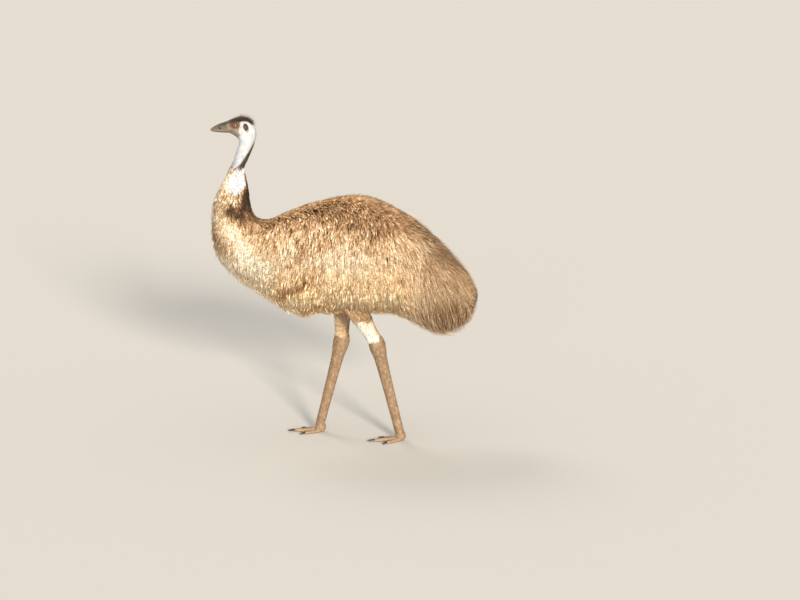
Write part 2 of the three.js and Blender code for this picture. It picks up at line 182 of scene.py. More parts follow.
# ------------------------------------------------------------------ colours by place on the bird
DARK = srgb(58, 43, 33)
BROWN = srgb(104, 78, 56)
BUFF = srgb(184, 145, 104)
PALE = srgb(231, 206, 170)
CREAM = srgb(243, 235, 218)
GREY_BROWN = srgb(140, 114, 90)
HAIR_DARK = srgb(43, 34, 29)
SKIN_PALE = srgb(184, 184, 186)
SKIN_BLUE = srgb(152, 162, 182)
FACE = srgb(103, 93, 79)
LEG = srgb(130, 106, 82)


def mix(a, b, t):
    t = np.asarray(t, float)[..., None]
    return a * (1 - t) + b * t


def near_line(y, z, line, spread):
    """1 on a polyline in the side view, falling off over spread (mm)."""
    best = np.full(y.shape, 1e9)
    for (ay, az), (by, bz) in zip(line[:-1], line[1:]):
        ly, lz = by - ay, bz - az
        t = np.clip(((y - ay) * ly + (z - az) * lz) / (ly * ly + lz * lz), 0, 1)
        best = np.minimum(best, np.hypot(y - ay - t * ly, z - az - t * lz))
    return np.exp(-((best / spread) ** 2))


def ramp(v, lo, hi):
    return smooth((v - lo) / (hi - lo))


def collar_at(y, z):
    """1 inside the pale collar at the foot of the bare neck."""
    dy, dz = y + 487, z - 1218
    return ramp(1.22 - np.hypot((0.5 * dy + 0.866 * dz) / 66, (0.866 * dy - 0.5 * dz) / 47), 0, 0.36)


def paleness(p, u, a):
    """How pale the feather tips are, 0 dark brown to 1 cream, from place alone."""
    y, z = p[..., 1], p[..., 2]
    c = np.cos(a)
    # the brown of the back gives way to the mottled buff of the sides
    edge = np.interp(y, [-401, -180, -13, 114, 286, 417, 560], [1030, 1062, 1045, 985, 990, 925, 830])
    v = 0.44 + 0.27 * ramp(edge + 45 - z, 0, 130) + 0.08 * ramp(edge - 100 - z, 0, 120) + 0.10 * ramp(770 - z, 0, 90)
    v = v + 0.16 * np.exp(-(((z - 790) / 90) ** 2)) * ramp(y, -170, -60) * ramp(260 - y, 0, 120)
    # cream streaks down the breast
    v = v + 0.44 * near_line(y, z, [(-562, 1066), (-527, 985), (-465, 900), (-432, 835), (-405, 765), (-385, 715)], 40)
    v = v + 0.16 * near_line(y, z, [(-332, 800), (-284, 735)], 34)
    # the edge of the folded wing: a darker line of painted shade along its crease, with a pale tuft under it
    v = v + 0.40 * near_line(y, z, [(-246, 668), (-228, 610)], 24)
    v = v - 0.46 * near_line(y, z, [(-172, 750), (-220, 716), (-286, 692)], 17)
    v = v + 0.10 * near_line(y, z, [(360, 930), (450, 860), (520, 700)], 50)
    # darker towards the tail; low at the back of the tail darker still, as painted shade
    v = v - 0.02 * ramp(y, 240, 330) - 0.16 * ramp(y, 330, 520) - 0.18 * ramp(y, 330, 480) * ramp(700 - z, 0, 110)
    # paler lower breast and low flank: partly their own pale colour, partly painted light standing for a low sun
    v = v + 0.32 * ramp(-290 - y, 0, 80) * ramp(900 - z, 0, 80)
    v = v + 0.12 * ramp(750 - z, 0, 60) * ramp(z - 610, 0, 50) * ramp(y, -270, -170) * ramp(340 - y, 0, 120)
    # painted shade: darker along the bottom of the belly and down the front edge of the breast
    v = v - 0.06 * ramp(645 - z, 0, 50) * ramp(y, -330, -200) * ramp(520 - y, 0, 120)
    v = v - 0.14 * ramp(-560 - y, 0, 40) * ramp(1010 - z, 0, 60)
    # neck: buff and brown in front, a pale collar at the side, a dark wedge at the back below it
    neck = ramp(13.8 - u, 0, 1.2)
    v = v * (1 - neck) + (0.76 + 0.06 * ramp(-c, 0, 0.7)) * neck
    # the strip down the back of the neck runs out into the collar
    v = v - 0.6 * ramp(c, 0.0, 0.4) * ramp(10.3 - u, 0, 0.7)
    wedge = near_line(y, z, [(-430, 1190), (-446, 1112), (-472, 1060), (-522, 1078)], 31)
    v = v * (1 - 0.95 * wedge)
    v = v - 0.22 * near_line(y, z, [(-417, 1062), (-340, 1036)], 28)
    collar = collar_at(y, z)
    v = v * (1 - collar) + 1.02 * collar
    v = v - 0.75 * ramp(c, 0.86, 0.98) * ramp(13.5 - u, 0, 1.5) * ramp(u, 9.4, 10.2)
    fine = wave(p * np.array([1.0, 1.0, 0.5]), 22, 7)
    # the locks of the hem part: their colour waves paler and darker, the dark between them being painted shade
    v = v + 0.15 * wave(p * np.array([1.0, 1.0, 0.35]), 15, 9) * ramp(690 - z, 0, 50) * ramp(y, -420, -360)
    return v + (0.08 * wave(p, 150, 3) + 0.09 * wave(p, 46, 5) + 0.10 * fine) * (1 - 0.8 * collar)


def painted_warm_light(p):
    """Painted warm sunlight on the lower sides, 0 to 1."""
    return ramp(870 - p[..., 2], 0, 170) * ramp(p[..., 1], -560, -470) * (1 - 0.6 * ramp(p[..., 1], 250, 420))


def warmed(colour, share):
    return colour * (1 + np.asarray(share, float)[..., None] * np.array([0.10, -0.02, -0.20]))


def tone(v, grey):
    """Colour for paleness v, with grey turning it towards the grey-brown of the rump."""
    v = np.clip(v, 0, 1)
    stops = [(0.0, DARK), (0.22, BROWN), (0.52, BUFF), (0.8, PALE), (1.0, CREAM)]
    out = np.zeros(v.shape + (3,))
    for k in range(3):
        out[..., k] = np.interp(v, [s[0] for s in stops], [s[1][k] for s in stops])
    return mix(out, out * 0.45 + GREY_BROWN * 0.55 * (0.35 + 1.3 * v[..., None]), grey)


# ------------------------------------------------------------------ mesh helpers
def to_frame(points):
    out = np.array(points, float).reshape(-1, 3) * MM
    out[:, 1] += SHIFT_Y * MM
    return out


def new_mesh(name, points, loops, starts, colours=None, uv=None):
    """A smooth-shaded mesh object from flat arrays: points in mm, loop vertex numbers, face starts."""
    mesh = bpy.data.meshes.new(name)
    points = to_frame(points)
    mesh.vertices.add(len(points))
    mesh.vertices.foreach_set("co", points.astype(np.float32).ravel())
    mesh.loops.add(len(loops))
    mesh.loops.foreach_set("vertex_index", np.asarray(loops, np.int32))
    mesh.polygons.add(len(starts))
    mesh.polygons.foreach_set("loop_start", np.asarray(starts, np.int32))
    mesh.update(calc_edges=True)
    mesh.polygons.foreach_set("use_smooth", np.ones(len(starts), bool))
    if uv is not None:
        layer = mesh.uv_layers.new(name="OFBake")
        layer.uv.foreach_set("vector", np.asarray(uv, np.float32).ravel())
    if colours is not None:
        put_colour(mesh, colours)
    mesh.validate()
    made = bpy.data.objects.new(name, mesh)
    bpy.context.scene.collection.objects.link(made)
    return made


def put_colour(mesh, colours):
    layer = mesh.attributes.get("tint") or mesh.attributes.new("tint", "FLOAT_COLOR", "POINT")
    rgba = np.ones((len(colours), 4), np.float32)
    rgba[:, :3] = colours
    layer.data.foreach_set("color", rgba.ravel())


def loft(name, rings, colours=None):
    """Closed skin over rings (R, S, 3), with a fan on both ends."""
    rings = np.asarray(rings, float)
    r, s = rings.shape[:2]
    i, j = np.meshgrid(np.arange(r - 1), np.arange(s), indexing="ij")
    n = (j + 1) % s
    quads = np.stack([i * s + j, i * s + n, (i + 1) * s + n, (i + 1) * s + j], -1).reshape(-1, 4)
    points = np.concatenate([rings.reshape(-1, 3), rings[0].mean(0)[None], rings[-1].mean(0)[None]])
    k = np.arange(s)
    first = np.stack([(k + 1) % s, k, np.full(s, r * s)], -1)
    last = np.stack([(r - 1) * s + k, (r - 1) * s + (k + 1) % s, np.full(s, r * s + 1)], -1)
    loops = np.concatenate([quads.ravel(), first.ravel(), last.ravel()])
    starts = np.concatenate([np.arange(len(quads)) * 4, len(quads) * 4 + np.arange(2 * s) * 3])
    # outward: flip the lot if the volume comes out negative
    tri = np.concatenate([quads[:, [0, 1, 2]], quads[:, [0, 2, 3]], first, last])
    a, b, c = points[tri[:, 0]], points[tri[:, 1]], points[tri[:, 2]]
    if np.einsum("ij,ij->i", a, np.cross(b, c)).sum() < 0:
        loops = np.concatenate([quads[:, ::-1].ravel(), first[:, ::-1].ravel(), last[:, ::-1].ravel()])
    if colours is not None:
        colours = np.asarray(colours, float).reshape(-1, 3)
        colours = np.concatenate([colours, colours[:s].mean(0)[None], colours[-s:].mean(0)[None]])
    return new_mesh(name, points, loops, starts, colours)


def united(target, others):
    """target joined with the others into one closed skin."""
    for other in others:
        m = target.modifiers.new("join", "BOOLEAN")
        m.operation = "UNION"
        m.object = other
        m.solver = "MANIFOLD"
        graph = bpy.context.evaluated_depsgraph_get()
        mesh = bpy.data.meshes.new_from_object(target.evaluated_get(graph))
        target.modifiers.remove(m)
        old = target.data
        target.data = mesh
        bpy.data.meshes.remove(old)
        spare = other.data
        bpy.data.objects.remove(other)
        bpy.data.meshes.remove(spare)
    return target


# ------------------------------------------------------------------ materials
def node_material(name, roughness, specular=0.5):
    m = bpy.data.materials.new(name)
    m.use_nodes = True
    tree = m.node_tree
    shader = tree.nodes["Principled BSDF"]
    shader.inputs["Roughness"].default_value = roughness
    shader.inputs["Specular IOR Level"].default_value = specular
    return m, tree, shader


def tint_node(tree):
    n = tree.nodes.new("ShaderNodeAttribute")
    n.attribute_name = "tint"
    return n


def noise_node(tree, scale, detail=3.0, coords=None):
    n = tree.nodes.new("ShaderNodeTexNoise")
    n.inputs["Scale"].default_value = scale
    n.inputs["Detail"].default_value = detail
    if coords is None:
        coords = tree.nodes.new("ShaderNodeTexCoord").outputs["Object"]
    tree.links.new(coords, n.inputs["Vector"])
    return n


def bumped(tree, shader, height, strength, distance):
    b = tree.nodes.new("ShaderNodeBump")
    b.inputs["Strength"].default_value = strength
    b.inputs["Distance"].default_value = distance
    tree.links.new(height, b.inputs["Height"])
    tree.links.new(b.outputs["Normal"], shader.inputs["Normal"])


def varied(tree, shader, colour, noise, low, high):
    """Base colour: colour multiplied by a grey from low to high that follows the noise."""
    span = tree.nodes.new("ShaderNodeMapRange")
    span.inputs["From Min"].default_value = 0.3
    span.inputs["From Max"].default_value = 0.7
    span.inputs["To Min"].default_value = low
    span.inputs["To Max"].default_value = high
    tree.links.new(noise, span.inputs["Value"])
    m = tree.nodes.new("ShaderNodeVectorMath")
    m.operation = "SCALE"
    tree.links.new(colour, m.inputs[0])
    tree.links.new(span.outputs["Result"], m.inputs["Scale"])
    tree.links.new(m.outputs["Vector"], shader.inputs["Base Color"])


def skin_material():
    m, tree, shader = node_material("skin", 0.62, 0.4)
    fine = noise_node(tree, 420.0, 4.0)
    cells = tree.nodes.new("ShaderNodeTexVoronoi")
    cells.inputs["Scale"].default_value = 260.0
    tree.links.new(tree.nodes.new("ShaderNodeTexCoord").outputs["Object"], cells.inputs["Vector"])
    varied(tree, shader, tint_node(tree).outputs["Color"], noise_node(tree, 90.0, 5.0).outputs["Fac"], 0.84, 1.1)
    total = tree.nodes.new("ShaderNodeMath")
    total.operation = "ADD"
    tree.links.new(fine.outputs["Fac"], total.inputs[0])
    tree.links.new(cells.outputs["Distance"], total.inputs[1])
    bumped(tree, shader, total.outputs["Value"], 0.35, 0.0007)
    return m


def coat_material(name, roughness, low, high):
    m, tree, shader = node_material(name, roughness, 0.3)
    # short flecks, a little wider than they are tall
    squeeze = tree.nodes.new("ShaderNodeVectorMath")
    squeeze.operation = "MULTIPLY"
    squeeze.inputs[1].default_value = (1.0, 1.0, 1.6)
    tree.links.new(tree.nodes.new("ShaderNodeTexCoord").outputs["Object"], squeeze.inputs[0])
    spots = noise_node(tree, 92.0, 2.0, squeeze.outputs["Vector"])
    varied(tree, shader, tint_node(tree).outputs["Color"], spots.outputs["Fac"], low, high)
    return m


def horn_material(name, roughness):
    m, tree, shader = node_material(name, roughness, 0.5)
    varied(tree, shader, tint_node(tree).outputs["Color"], noise_node(tree, 160.0, 5.0).outputs["Fac"], 0.8, 1.18)
    bumped(tree, shader, noise_node(tree, 600.0, 3.0).outputs["Fac"], 0.25, 0.0004)
    return m


def eye_material():
    m, tree, shader = node_material("eye", 0.12, 0.5)
    tree.links.new(tint_node(tree).outputs["Color"], shader.inputs["Base Color"])
    shader.inputs["Coat Weight"].default_value = 0.35
    shader.inputs["Coat Roughness"].default_value = 0.03
    return m


SKIN, COAT = skin_material(), coat_material("plumage", 0.62, 0.55, 1.40)
DOWN, HAIRS = coat_material("leg_feathers", 0.62, 0.88, 1.08), coat_material("bristles", 0.5, 0.88, 1.08)
HORN, CLAW, EYE_MAT = horn_material("bill_horn", 0.5), horn_material("claw_horn", 0.38), eye_material()


def dress(obj, material, body="root"):
    obj.data.materials.clear()
    obj.data.materials.append(material)
    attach(obj, body)
    return obj


# ------------------------------------------------------------------ skin: head, neck and trunk
EYE = {"r": 15.0, "y": -496.0, "z": 1486.0, "x": 24.0}
EAR = {"y": -447.0, "z": 1477.0, "along": 15.0, "across": 9.0, "tilt": 0.35}
GAPE = {"y": -503.0, "z": 1459.0}


def eye_distance(y, z):
    return np.hypot((y - EYE["y"]) / 1.12, (z - EYE["z"]) / 0.90)


def ear_distance(y, z):
    dy, dz = y - EAR["y"], z - EAR["z"]
    t = EAR["tilt"]
    return np.hypot((dy * math.cos(t) + dz * math.sin(t)) / EAR["across"], (-dy * math.sin(t) + dz * math.cos(t)) / EAR["along"])


def head_details(p, u, a):
    """Lids, brow, ear openings, corner of the gape and folds, pushed into the skin."""
    n = tangents(u, a)[2]
    y, z = p[..., 1], p[..., 2]
    on_side = ramp(np.abs(p[..., 0]), 14, 22)
    e = eye_distance(y, z)
    out = -0.9 * np.exp(-(((e - 14.8) / 1.6) ** 2)) + 0.5 * np.exp(-(((e - 17.4) / 1.6) ** 2))
    # brow over the eye, running out behind it
    out = out + 1.3 * np.exp(-(((z - EYE["z"] - 14.0 + (y - EYE["y"]) * 0.08) / 4.5) ** 2) - ((y - EYE["y"] - 4) / 20) ** 2)
    # cheek
    out = out + 1.6 * np.exp(-(((y + 484) / 16) ** 2) - ((z - 1457) / 12) ** 2)
    r = ear_distance(y, z)
    out = out - 8.0 * ramp(1.12 - r, 0, 0.5) + 1.2 * np.exp(-(((r - 1.3) / 0.16) ** 2))
    # gape: a groove that runs back from the bill, and the fold under it
    g = np.abs(z - GAPE["z"] - (y + 520) * 0.05)
    out = out - 2.0 * np.exp(-((g / 1.7) ** 2)) * ramp(GAPE["y"] + 4 - y, 0, 7)
    out = out + 0.8 * np.exp(-((((z - GAPE["z"]) + 6) / 3.0) ** 2)) * ramp(GAPE["y"] + 8 - y, 0, 10)
    folds = 0.45 * np.sin((z - 0.35 * y) / 1.35 + 2.0 * wave(p, 60, 11)) * ramp(u, 5.0, 6.4) * ramp(10.5 - u, 0, 1.5)
    folds = folds + 0.6 * wave(p, 13, 12) * ramp(u, 3.6, 5.0) * ramp(10.5 - u, 0, 1.5)
    crease = 0.28 * wave(p, 6.5, 13) * ramp(7 - u, 0, 2)
    p = p + n * (out * on_side * ramp(6.6 - u, 0, 0.8) + folds + crease)[..., None]
    # lids: the skin closes on the ball, thickens at its edge, and turns in behind the edge
    e = eye_distance(p[..., 1], p[..., 2])
    far = np.hypot(p[..., 1] - EYE["y"], p[..., 2] - EYE["z"])
    above = ramp(p[..., 2] - EYE["z"], 2, 11)
    around = np.sqrt((EYE["r"] + 0.55) ** 2 - np.minimum(far, 11) ** 2) - (0.38 + 0.45 * above) * np.maximum(far - 11, 0)
    lid = EYE["x"] + around + 0.55 * np.exp(-(((e - 10.2) / 0.9) ** 2))
    along = ramp(np.abs(p[..., 1] - EYE["y"]), 8, 15) * (1 - above)
    close = smooth((20.0 - 3.8 * above + 5.5 * along - e) / (9.0 - 3.2 * above + 5.5 * along)) * on_side
    x = np.abs(p[..., 0])
    x = x * (1 - close) + lid * close
    x = x - 4.5 * ramp(9.8 - e, 0, 1.6) * on_side
    p[..., 0] = np.where(e < 26, np.sign(p[..., 0]) * x, p[..., 0])
    return p


def crown_at(u, c):
    """1 on the dark crown, which narrows behind the eye."""
    lo = np.interp(u, [1.5, 2.6, 3.4], [0.50, 0.58, 0.74])
    return smooth((c - lo) / 0.14) * ramp(4.6 - u, 0, 0.8)


def nape_at(u, c):
    """1 where dark bristles cover the back of the neck: a strip that widens downwards."""
    lo = np.interp(u, [6.2, 7.2, 8.0, 9.0], [0.80, 0.58, 0.28, 0.0])
    return smooth((c - lo) / 0.36) * ramp(u, 6.2, 7.4)


def skin_colour(p, u, a):
    y, z = p[..., 1], p[..., 2]
    c = np.cos(a)
    # dark face in front, bare pale blue behind a slanting line between eye and ear
    edge = np.interp(z, [1340, 1385, 1410, 1440, 1460, 1487, 1500, 1518], [-560, -515, -491, -476, -480, -473, -464, -452])
    pale = ramp(y - edge + 7 * wave(p, 26, 21), -9, 8)
    white = mix(SKIN_PALE, SKIN_BLUE, 0.30 + 0.30 * wave(p, 40, 22) + 0.55 * ramp(u, 7.0, 9.0))
    face = mix(FACE, srgb(134, 119, 101), 0.5 + 0.5 * wave(p, 18, 23))
    face = mix(face, srgb(62, 50, 43), 0.8 * ramp(z - 1488 - 0.12 * (y + 496), 0, 14) * ramp(y, -545, -515))
    face = mix(face, srgb(66, 53, 45), 0.7 * np.exp(-((eye_distance(y, z) - 17) / 5) ** 2))
    out = mix(face, white, pale)
    # a tan smudge between eye and ear
    out = mix(out, srgb(150, 132, 118), 0.55 * np.exp(-(((y + 466) / 9) ** 2) - ((z - 1472) / 11) ** 2))
    # crown and nape
    cap = crown_at(u, c)
    out = mix(out, srgb(70, 60, 54), cap * 0.9)
    out = mix(out, srgb(118, 103, 94), 0.8 * nape_at(u, c))
    ring = ramp(15.0 - eye_distance(y, z), 0, 4) * ramp(4.5 - u, 0, 0.6)
    out = mix(out, srgb(50, 40, 34), ring * 0.85)
    # painted shade along the groove of the gape
    mouth = np.exp(-((z - GAPE["z"] - (y + 520) * 0.05) / 2.0) ** 2) * ramp(GAPE["y"] + 3 - y, 0, 7)
    out = mix(out, srgb(40, 33, 29), mouth * 0.8 * (u < 4))
    ear = ramp(1.30 - ear_distance(y, z), 0, 0.3) * ramp(8 - u, 0, 0.6)
    out = mix(out, srgb(70, 44, 24), ear)
    # under the plumage: a dark, warm ground that follows the markings, darkened as painted shade of the coat's depth
    under = tone(np.clip(0.14 + 0.34 * paleness(p, u, a), 0, 1), ramp(y, 300, 520))
    under = mix(under, CREAM * 0.8, collar_at(y, z))
    return mix(out, under, ramp(u, 8.9, 9.8))


def body_skin():
    sides = 152
    heads = np.concatenate([np.linspace(0, 1, 30)[:-1], np.linspace(1, 6.6, 150)[:-1], np.linspace(6.6, 10, 64)[:-1], np.linspace(10, SKIN_END, 118)])
    turn = np.arange(sides) * 2 * math.pi / sides
    angle = turn + 0.25 * np.sin(2 * turn)
    u, a = np.meshgrid(heads, angle, indexing="ij")
    inset = depth(u, a) + 3.4 * np.clip(1 - u / 0.3, 0, 1) ** 2
    p = surf(u, a, -inset)
    p = head_details(p, u, a)
    return loft("skin", p, skin_colour(p, u, a))


# ------------------------------------------------------------------ skin: legs and feet
LEGS = {
    "left": {"knee": (112, -50, 826), "hock": (96, 155, 468), "ankle": (92, 262, 37), "toe_out": 0.14},
    "right": {"knee": (-112, 2, 858), "hock": (-96, -10, 447), "ankle": (-92, -117, 36), "toe_out": 0.06},
}
SHANK = [[0, 62, 80], [0.35, 54, 68], [0.62, 38, 46], [0.8, 29, 36], [0.92, 27, 33.5], [1, 29, 36]]
TARSUS = [[-0.1, 11, 15], [-0.085, 20, 26], [-0.05, 28.5, 36], [0, 31.5, 40], [0.06, 30, 38], [0.16, 24.5, 31],
          [0.34, 21.5, 27.5], [0.6, 19.5, 25], [0.84, 20, 23], [0.94, 25.5, 23], [1, 27, 22]]
PAD = {"x": 25, "y": 27, "z": 27, "back": 3, "lift": 25}
TOE_PAD = {"halfWidth": 13.2, "height": 23, "tipHeight": 15.5, "sink": 1.6}
TOES = {
    "inner": {"turn": -0.56, "length": 84, "claw": 27, "side": -13, "scale": 0.9},
    "middle": {"turn": 0.0, "length": 124, "claw": 31, "side": 0, "scale": 1.08},
    "outer": {"turn": 0.56, "length": 86, "claw": 25, "side": 13, "scale": 0.9},
}


def keyed(keys, share, column):
    keys = np.asarray(keys, float)
    share = np.asarray(share, float)
    i = np.clip(np.searchsorted(keys[:, 0], share, side="left") - 1, 0, len(keys) - 2)
    f = np.clip((share - keys[i, 0]) / (keys[i + 1, 0] - keys[i, 0]), 0, 1)
    v = keys[:, column]
    a, b, c, d = v[np.maximum(i - 1, 0)], v[i], v[i + 1], v[np.minimum(i + 2, len(v) - 1)]
    return 0.5 * (2 * b + (c - a) * f + (2 * a - 5 * b + 4 * c - d) * f**2 + (3 * b - a - 3 * c + d) * f**3)


def limb_frame(a, b):
    a, b = np.array(a, float), np.array(b, float)
    along = b - a
    length = np.linalg.norm(along)
    along /= length
    fore = np.cross([1.0, 0, 0], along)
    fore /= np.linalg.norm(fore)
    return a, along, length, fore, np.cross(along, fore)


def limb_points(a, b, keys, share, angle, grow=0.0):
    origin, along, length, fore, side = limb_frame(a, b)
    wide, deep = keyed(keys, share, 1) + grow, keyed(keys, share, 2) + grow
    return (origin + along * (share * length)[..., None] + side * (wide * np.cos(angle))[..., None]
            + fore * (deep * np.sin(angle))[..., None])


def scute(phase):
    """Profile of overlapping scales: a slow rise and a quick drop, 0 to 1."""
    f = phase % 1.0
    return np.where(f < 0.82, (f / 0.82) ** 0.7, np.clip((1 - f) / 0.18, 0, 1) ** 1.5)


def leg_colour(p, dark):
    out = mix(LEG, srgb(110, 88, 66), 0.5 + 0.5 * wave(p, 55, 31))
    out = mix(out, srgb(178, 154, 124), 0.35 * ramp(wave(p, 17, 32), 0.1, 0.8))
    out = mix(out, srgb(72, 56, 42), dark)
    # dust on the feet
    return mix(out, srgb(170, 148, 118), 0.30 * ramp(70 - p[..., 2], 0, 60))


def leg_parts(name):
    leg = LEGS[name]
    side = 1 if leg["knee"][0] > 0 else -1
    s = 72
    angle = np.arange(s) * 2 * math.pi / s
    made = []
    # feathered drumstick
    share, ang = np.meshgrid(np.linspace(0.04, 0.965, 60), angle, indexing="ij")
    p = limb_points(leg["knee"], leg["hock"], SHANK, share, ang, -np.interp(share, [0.3, 0.6, 0.8, 0.93], [16, 9, 5, 2.2]))
    # the near drumstick's skin is cream on its outer side only: partly pale feathering, partly painted sunlight
    made.append(loft("shank_" + name, p, mix(leg_colour(p, 0.2 * np.ones(share.shape)), CREAM * 0.85, 0.9 * (side > 0) * ramp(p[..., 0] - leg["hock"][0], -14, 2) * ramp(590 - p[..., 2], 0, 14))))
    # tarsus: broad scutes down the front, small net scales elsewhere
    share, ang = np.meshgrid(np.concatenate([np.linspace(-0.1, 0.02, 26)[:-1], np.linspace(0.02, 1, 300)]), angle, indexing="ij")
    length = limb_frame(leg["hock"], leg["ankle"])[2]
    forward = limb_frame(leg["hock"], leg["ankle"])[3]
    facing = np.sin(ang) * (1 if forward[1] < 0 else -1)
    front = ramp(facing, 0.25, 0.62) * ramp(share, 0.03, 0.14)
    p0 = limb_points(leg["hock"], leg["ankle"], TARSUS, share, ang)
    period = np.interp(share, [0, 0.3, 1], [9.5, 12.5, 10.0])
    step = scute(share * length / period + 0.12 * wave(p0, 40, 41))
    net = np.abs(wave(p0, 9.5, 42)) ** 0.6 + 0.5 * np.abs(wave(p0, 5.5, 43)) ** 0.7
    relief = front * 1.7 * step + (1 - front) * 1.15 * net
    back = ramp(-facing, 0.55, 0.9) * ramp(share, 0.05, 0.2)
    relief = relief + 0.5 * back * scute(share * length / 7.0)
    tendon = -1.6 * np.exp(-((facing + 0.38) / 0.16) ** 2) * ramp(share, 0.1, 0.25) * ramp(0.95 - share, 0, 0.15)
    knob = 1.5 * wave(p0, 34, 44) * ramp(0.16 - share, 0, 0.12)
    p = limb_points(leg["hock"], leg["ankle"], TARSUS, share, ang, -1.9 + relief + tendon + knob - 0.9 * ramp(0.02 - share, 0, 0.03))
    gap = front * ramp(0.30 - step, 0, 0.28) + (1 - front) * ramp(0.38 - net, 0, 0.3)
    made.append(loft("tarsus_" + name, p, leg_colour(p, 0.75 * gap + 0.25 * ramp(wave(p, 14, 61), 0.2, 0.9))))
    # pad under the end of the tarsus
    share, ang = np.meshgrid(np.linspace(0.02, 0.98, 44) * math.pi, angle, indexing="ij")
    r = np.stack([PAD["x"] * np.sin(share) * np.cos(ang), PAD["y"] * np.sin(share) * np.sin(ang), PAD["z"] * np.cos(share)], -1)
    c = np.array([leg["ankle"][0], leg["ankle"][1] + PAD["back"], PAD["lift"]], float)
    p = c + r * (0.965 + 0.02 * np.abs(wave(c + r, 8, 45)))[..., None]
    made.append(loft("pad_" + name, p, leg_colour(p, 0.2 * np.ones(share.shape))))
    for key, toe in TOES.items():
        turn = side * (leg["toe_out"] + toe["turn"])
        fwd = np.array([math.sin(turn), -math.cos(turn), 0])
        across = np.array([math.cos(turn), math.sin(turn), 0])
        start = np.array([leg["ankle"][0] + side * toe["side"] * 0.5, leg["ankle"][1], 0.0])
        share, ang = np.meshgrid(np.linspace(0.0, 1, 110), angle[::2], indexing="ij")
        pads = 1 + 0.08 * np.sin(share * math.pi * 2 * (2.7 if key == "middle" else 1.9) + 0.9)
        round_ = np.minimum(1, 0.72 + 2.2 * (1 - share))
        up = np.sin(ang)
        step = scute(share * toe["length"] / 7.2)
        relief = -1.1 + 1.1 * step * ramp(up, 0.25, 0.6) + 0.5 * ramp(0.35 - up, 0, 0.4) * np.abs(wave(np.stack([ang * 9, share * toe["length"], ang * 0], -1), 7, 46))
        relief = relief - 0.5 * ramp(share, 0.93, 1.0)
        wide = TOE_PAD["halfWidth"] * toe["scale"] * pads * (1.08 - 0.32 * share) * round_ + relief
        height = (TOE_PAD["height"] + (TOE_PAD["tipHeight"] - TOE_PAD["height"]) * share) * toe["scale"] * (0.92 + 0.08 * pads)
        base = start + fwd * (toe["length"] * share)[..., None] + np.array([0, 0, 1.0]) * (height / 2 - TOE_PAD["sink"])[..., None]
        p = base + across * (wide * np.cos(ang))[..., None] + np.array([0, 0, 1.0]) * ((height / 2 * round_ + relief) * up)[..., None]
        made.append(loft("toe_" + name + key, p, leg_colour(p, 0.6 * ramp(0.25 - step, 0, 0.25) * ramp(up, 0.2, 0.5))))
    return made


def claws():
    for name, leg in LEGS.items():
        side = 1 if leg["knee"][0] > 0 else -1
        for key, toe in TOES.items():
            turn = side * (leg["toe_out"] + toe["turn"])
            fwd = np.array([math.sin(turn), -math.cos(turn), 0])
            across = np.array([math.cos(turn), math.sin(turn), 0])
            start = np.array([leg["ankle"][0] + side * toe["side"] * 0.5, leg["ankle"][1], 0.0])
            share, ang = np.meshgrid(np.linspace(0, 1, 36), np.arange(28) * 2 * math.pi / 28, indexing="ij")
            taper = 0.10 + 0.90 * np.sqrt(np.clip(1 - share**1.9, 0, 1))
            k = toe["scale"]
            z = 7.2 * k - 3.2 * share**2
            base = start + fwd * (toe["length"] - 3.5 + (toe["claw"] + 3.5) * share)[..., None]
            up = np.sin(ang)
            flat = np.where(up < 0, 0.72, 1.0)
            p = base + across * (6.2 * k * taper * np.cos(ang) * (1 - 0.12 * np.maximum(up, 0)))[..., None]
            p[..., 2] += z + 6.0 * k * taper * up * flat
            p[..., 2] = np.maximum(p[..., 2], 0.35)
            colour = mix(srgb(44, 38, 34), srgb(96, 82, 68), 0.55 * ramp(share, 0.45, 1.0) * (0.6 + 0.4 * wave(p, 6, 51)))
            made = loft(f"claw_{name}_{key}", p, colour)
            dress(made, CLAW)
            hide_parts(f"{name}_claw_{key}")


def whole_skin():
    skin = body_skin()
    skin = united(skin, leg_parts("left") + leg_parts("right"))
    mesh = skin.data
    n = len(mesh.vertices)
    co = np.zeros(n * 3, np.float32)
    mesh.vertices.foreach_get("co", co)
    co = co.reshape(-1, 3).astype(float)
    co[:, 2] = np.maximum(co[:, 2], 0.0003)
    mesh.vertices.foreach_set("co", co.astype(np.float32).ravel())
    # points made by the joins have no colour of their own and take their neighbours'
    tint = np.zeros(n * 4, np.float32)
    mesh.attributes["tint"].data.foreach_get("color", tint)
    tint = tint.reshape(-1, 4)[:, :3].astype(float)
    edges = np.zeros(len(mesh.edges) * 2, np.int32)
    mesh.edges.foreach_get("vertices", edges)
    edges = edges.reshape(-1, 2)
    bare = (tint.sum(1) > 2.7) | (tint.sum(1) < 1e-5)
    for _ in range(6):
        total, hits = np.zeros_like(tint), np.zeros(n)
        for here, there in ((0, 1), (1, 0)):
            good = ~bare[edges[:, there]]
            np.add.at(total, edges[good, here], tint[edges[good, there]])
            np.add.at(hits, edges[good, here], 1)
        fill = bare & (hits > 0)
        tint[fill] = total[fill] / hits[fill][:, None]
        bare &= ~fill
        if not bare.any():
            break
    put_colour(mesh, tint)
    mesh.polygons.foreach_set("use_smooth", np.ones(len(mesh.polygons), bool))
    mesh.update()
    dress(skin, SKIN)
    nodes = ["head", "ear_left", "ear_right", "neck_upper", "neck_middle", "neck_lower", "trunk", "tail", "wing_left", "wing_right"]
    for name in LEGS:
        nodes += [name + "_shank", name + "_tarsus"] + [f"{name}_toe_{k}" for k in TOES]
    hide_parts(*nodes)
    return skin


# ------------------------------------------------------------------ bill
BILL = {
    "base": (-506, 1459), "tip": (-613, 1460), "sag": 2.5,
    "keys": [[0, 25.5, 53, 10.5], [0.2, 24.2, 47.5, 9], [0.4, 21.5, 41, 7.5], [0.6, 17.8, 33.5, 6.3],
             [0.8, 13.2, 22.5, 5], [0.93, 8.8, 12.5, 3.6], [1, 4.4, 4.5, 1.8]],
}


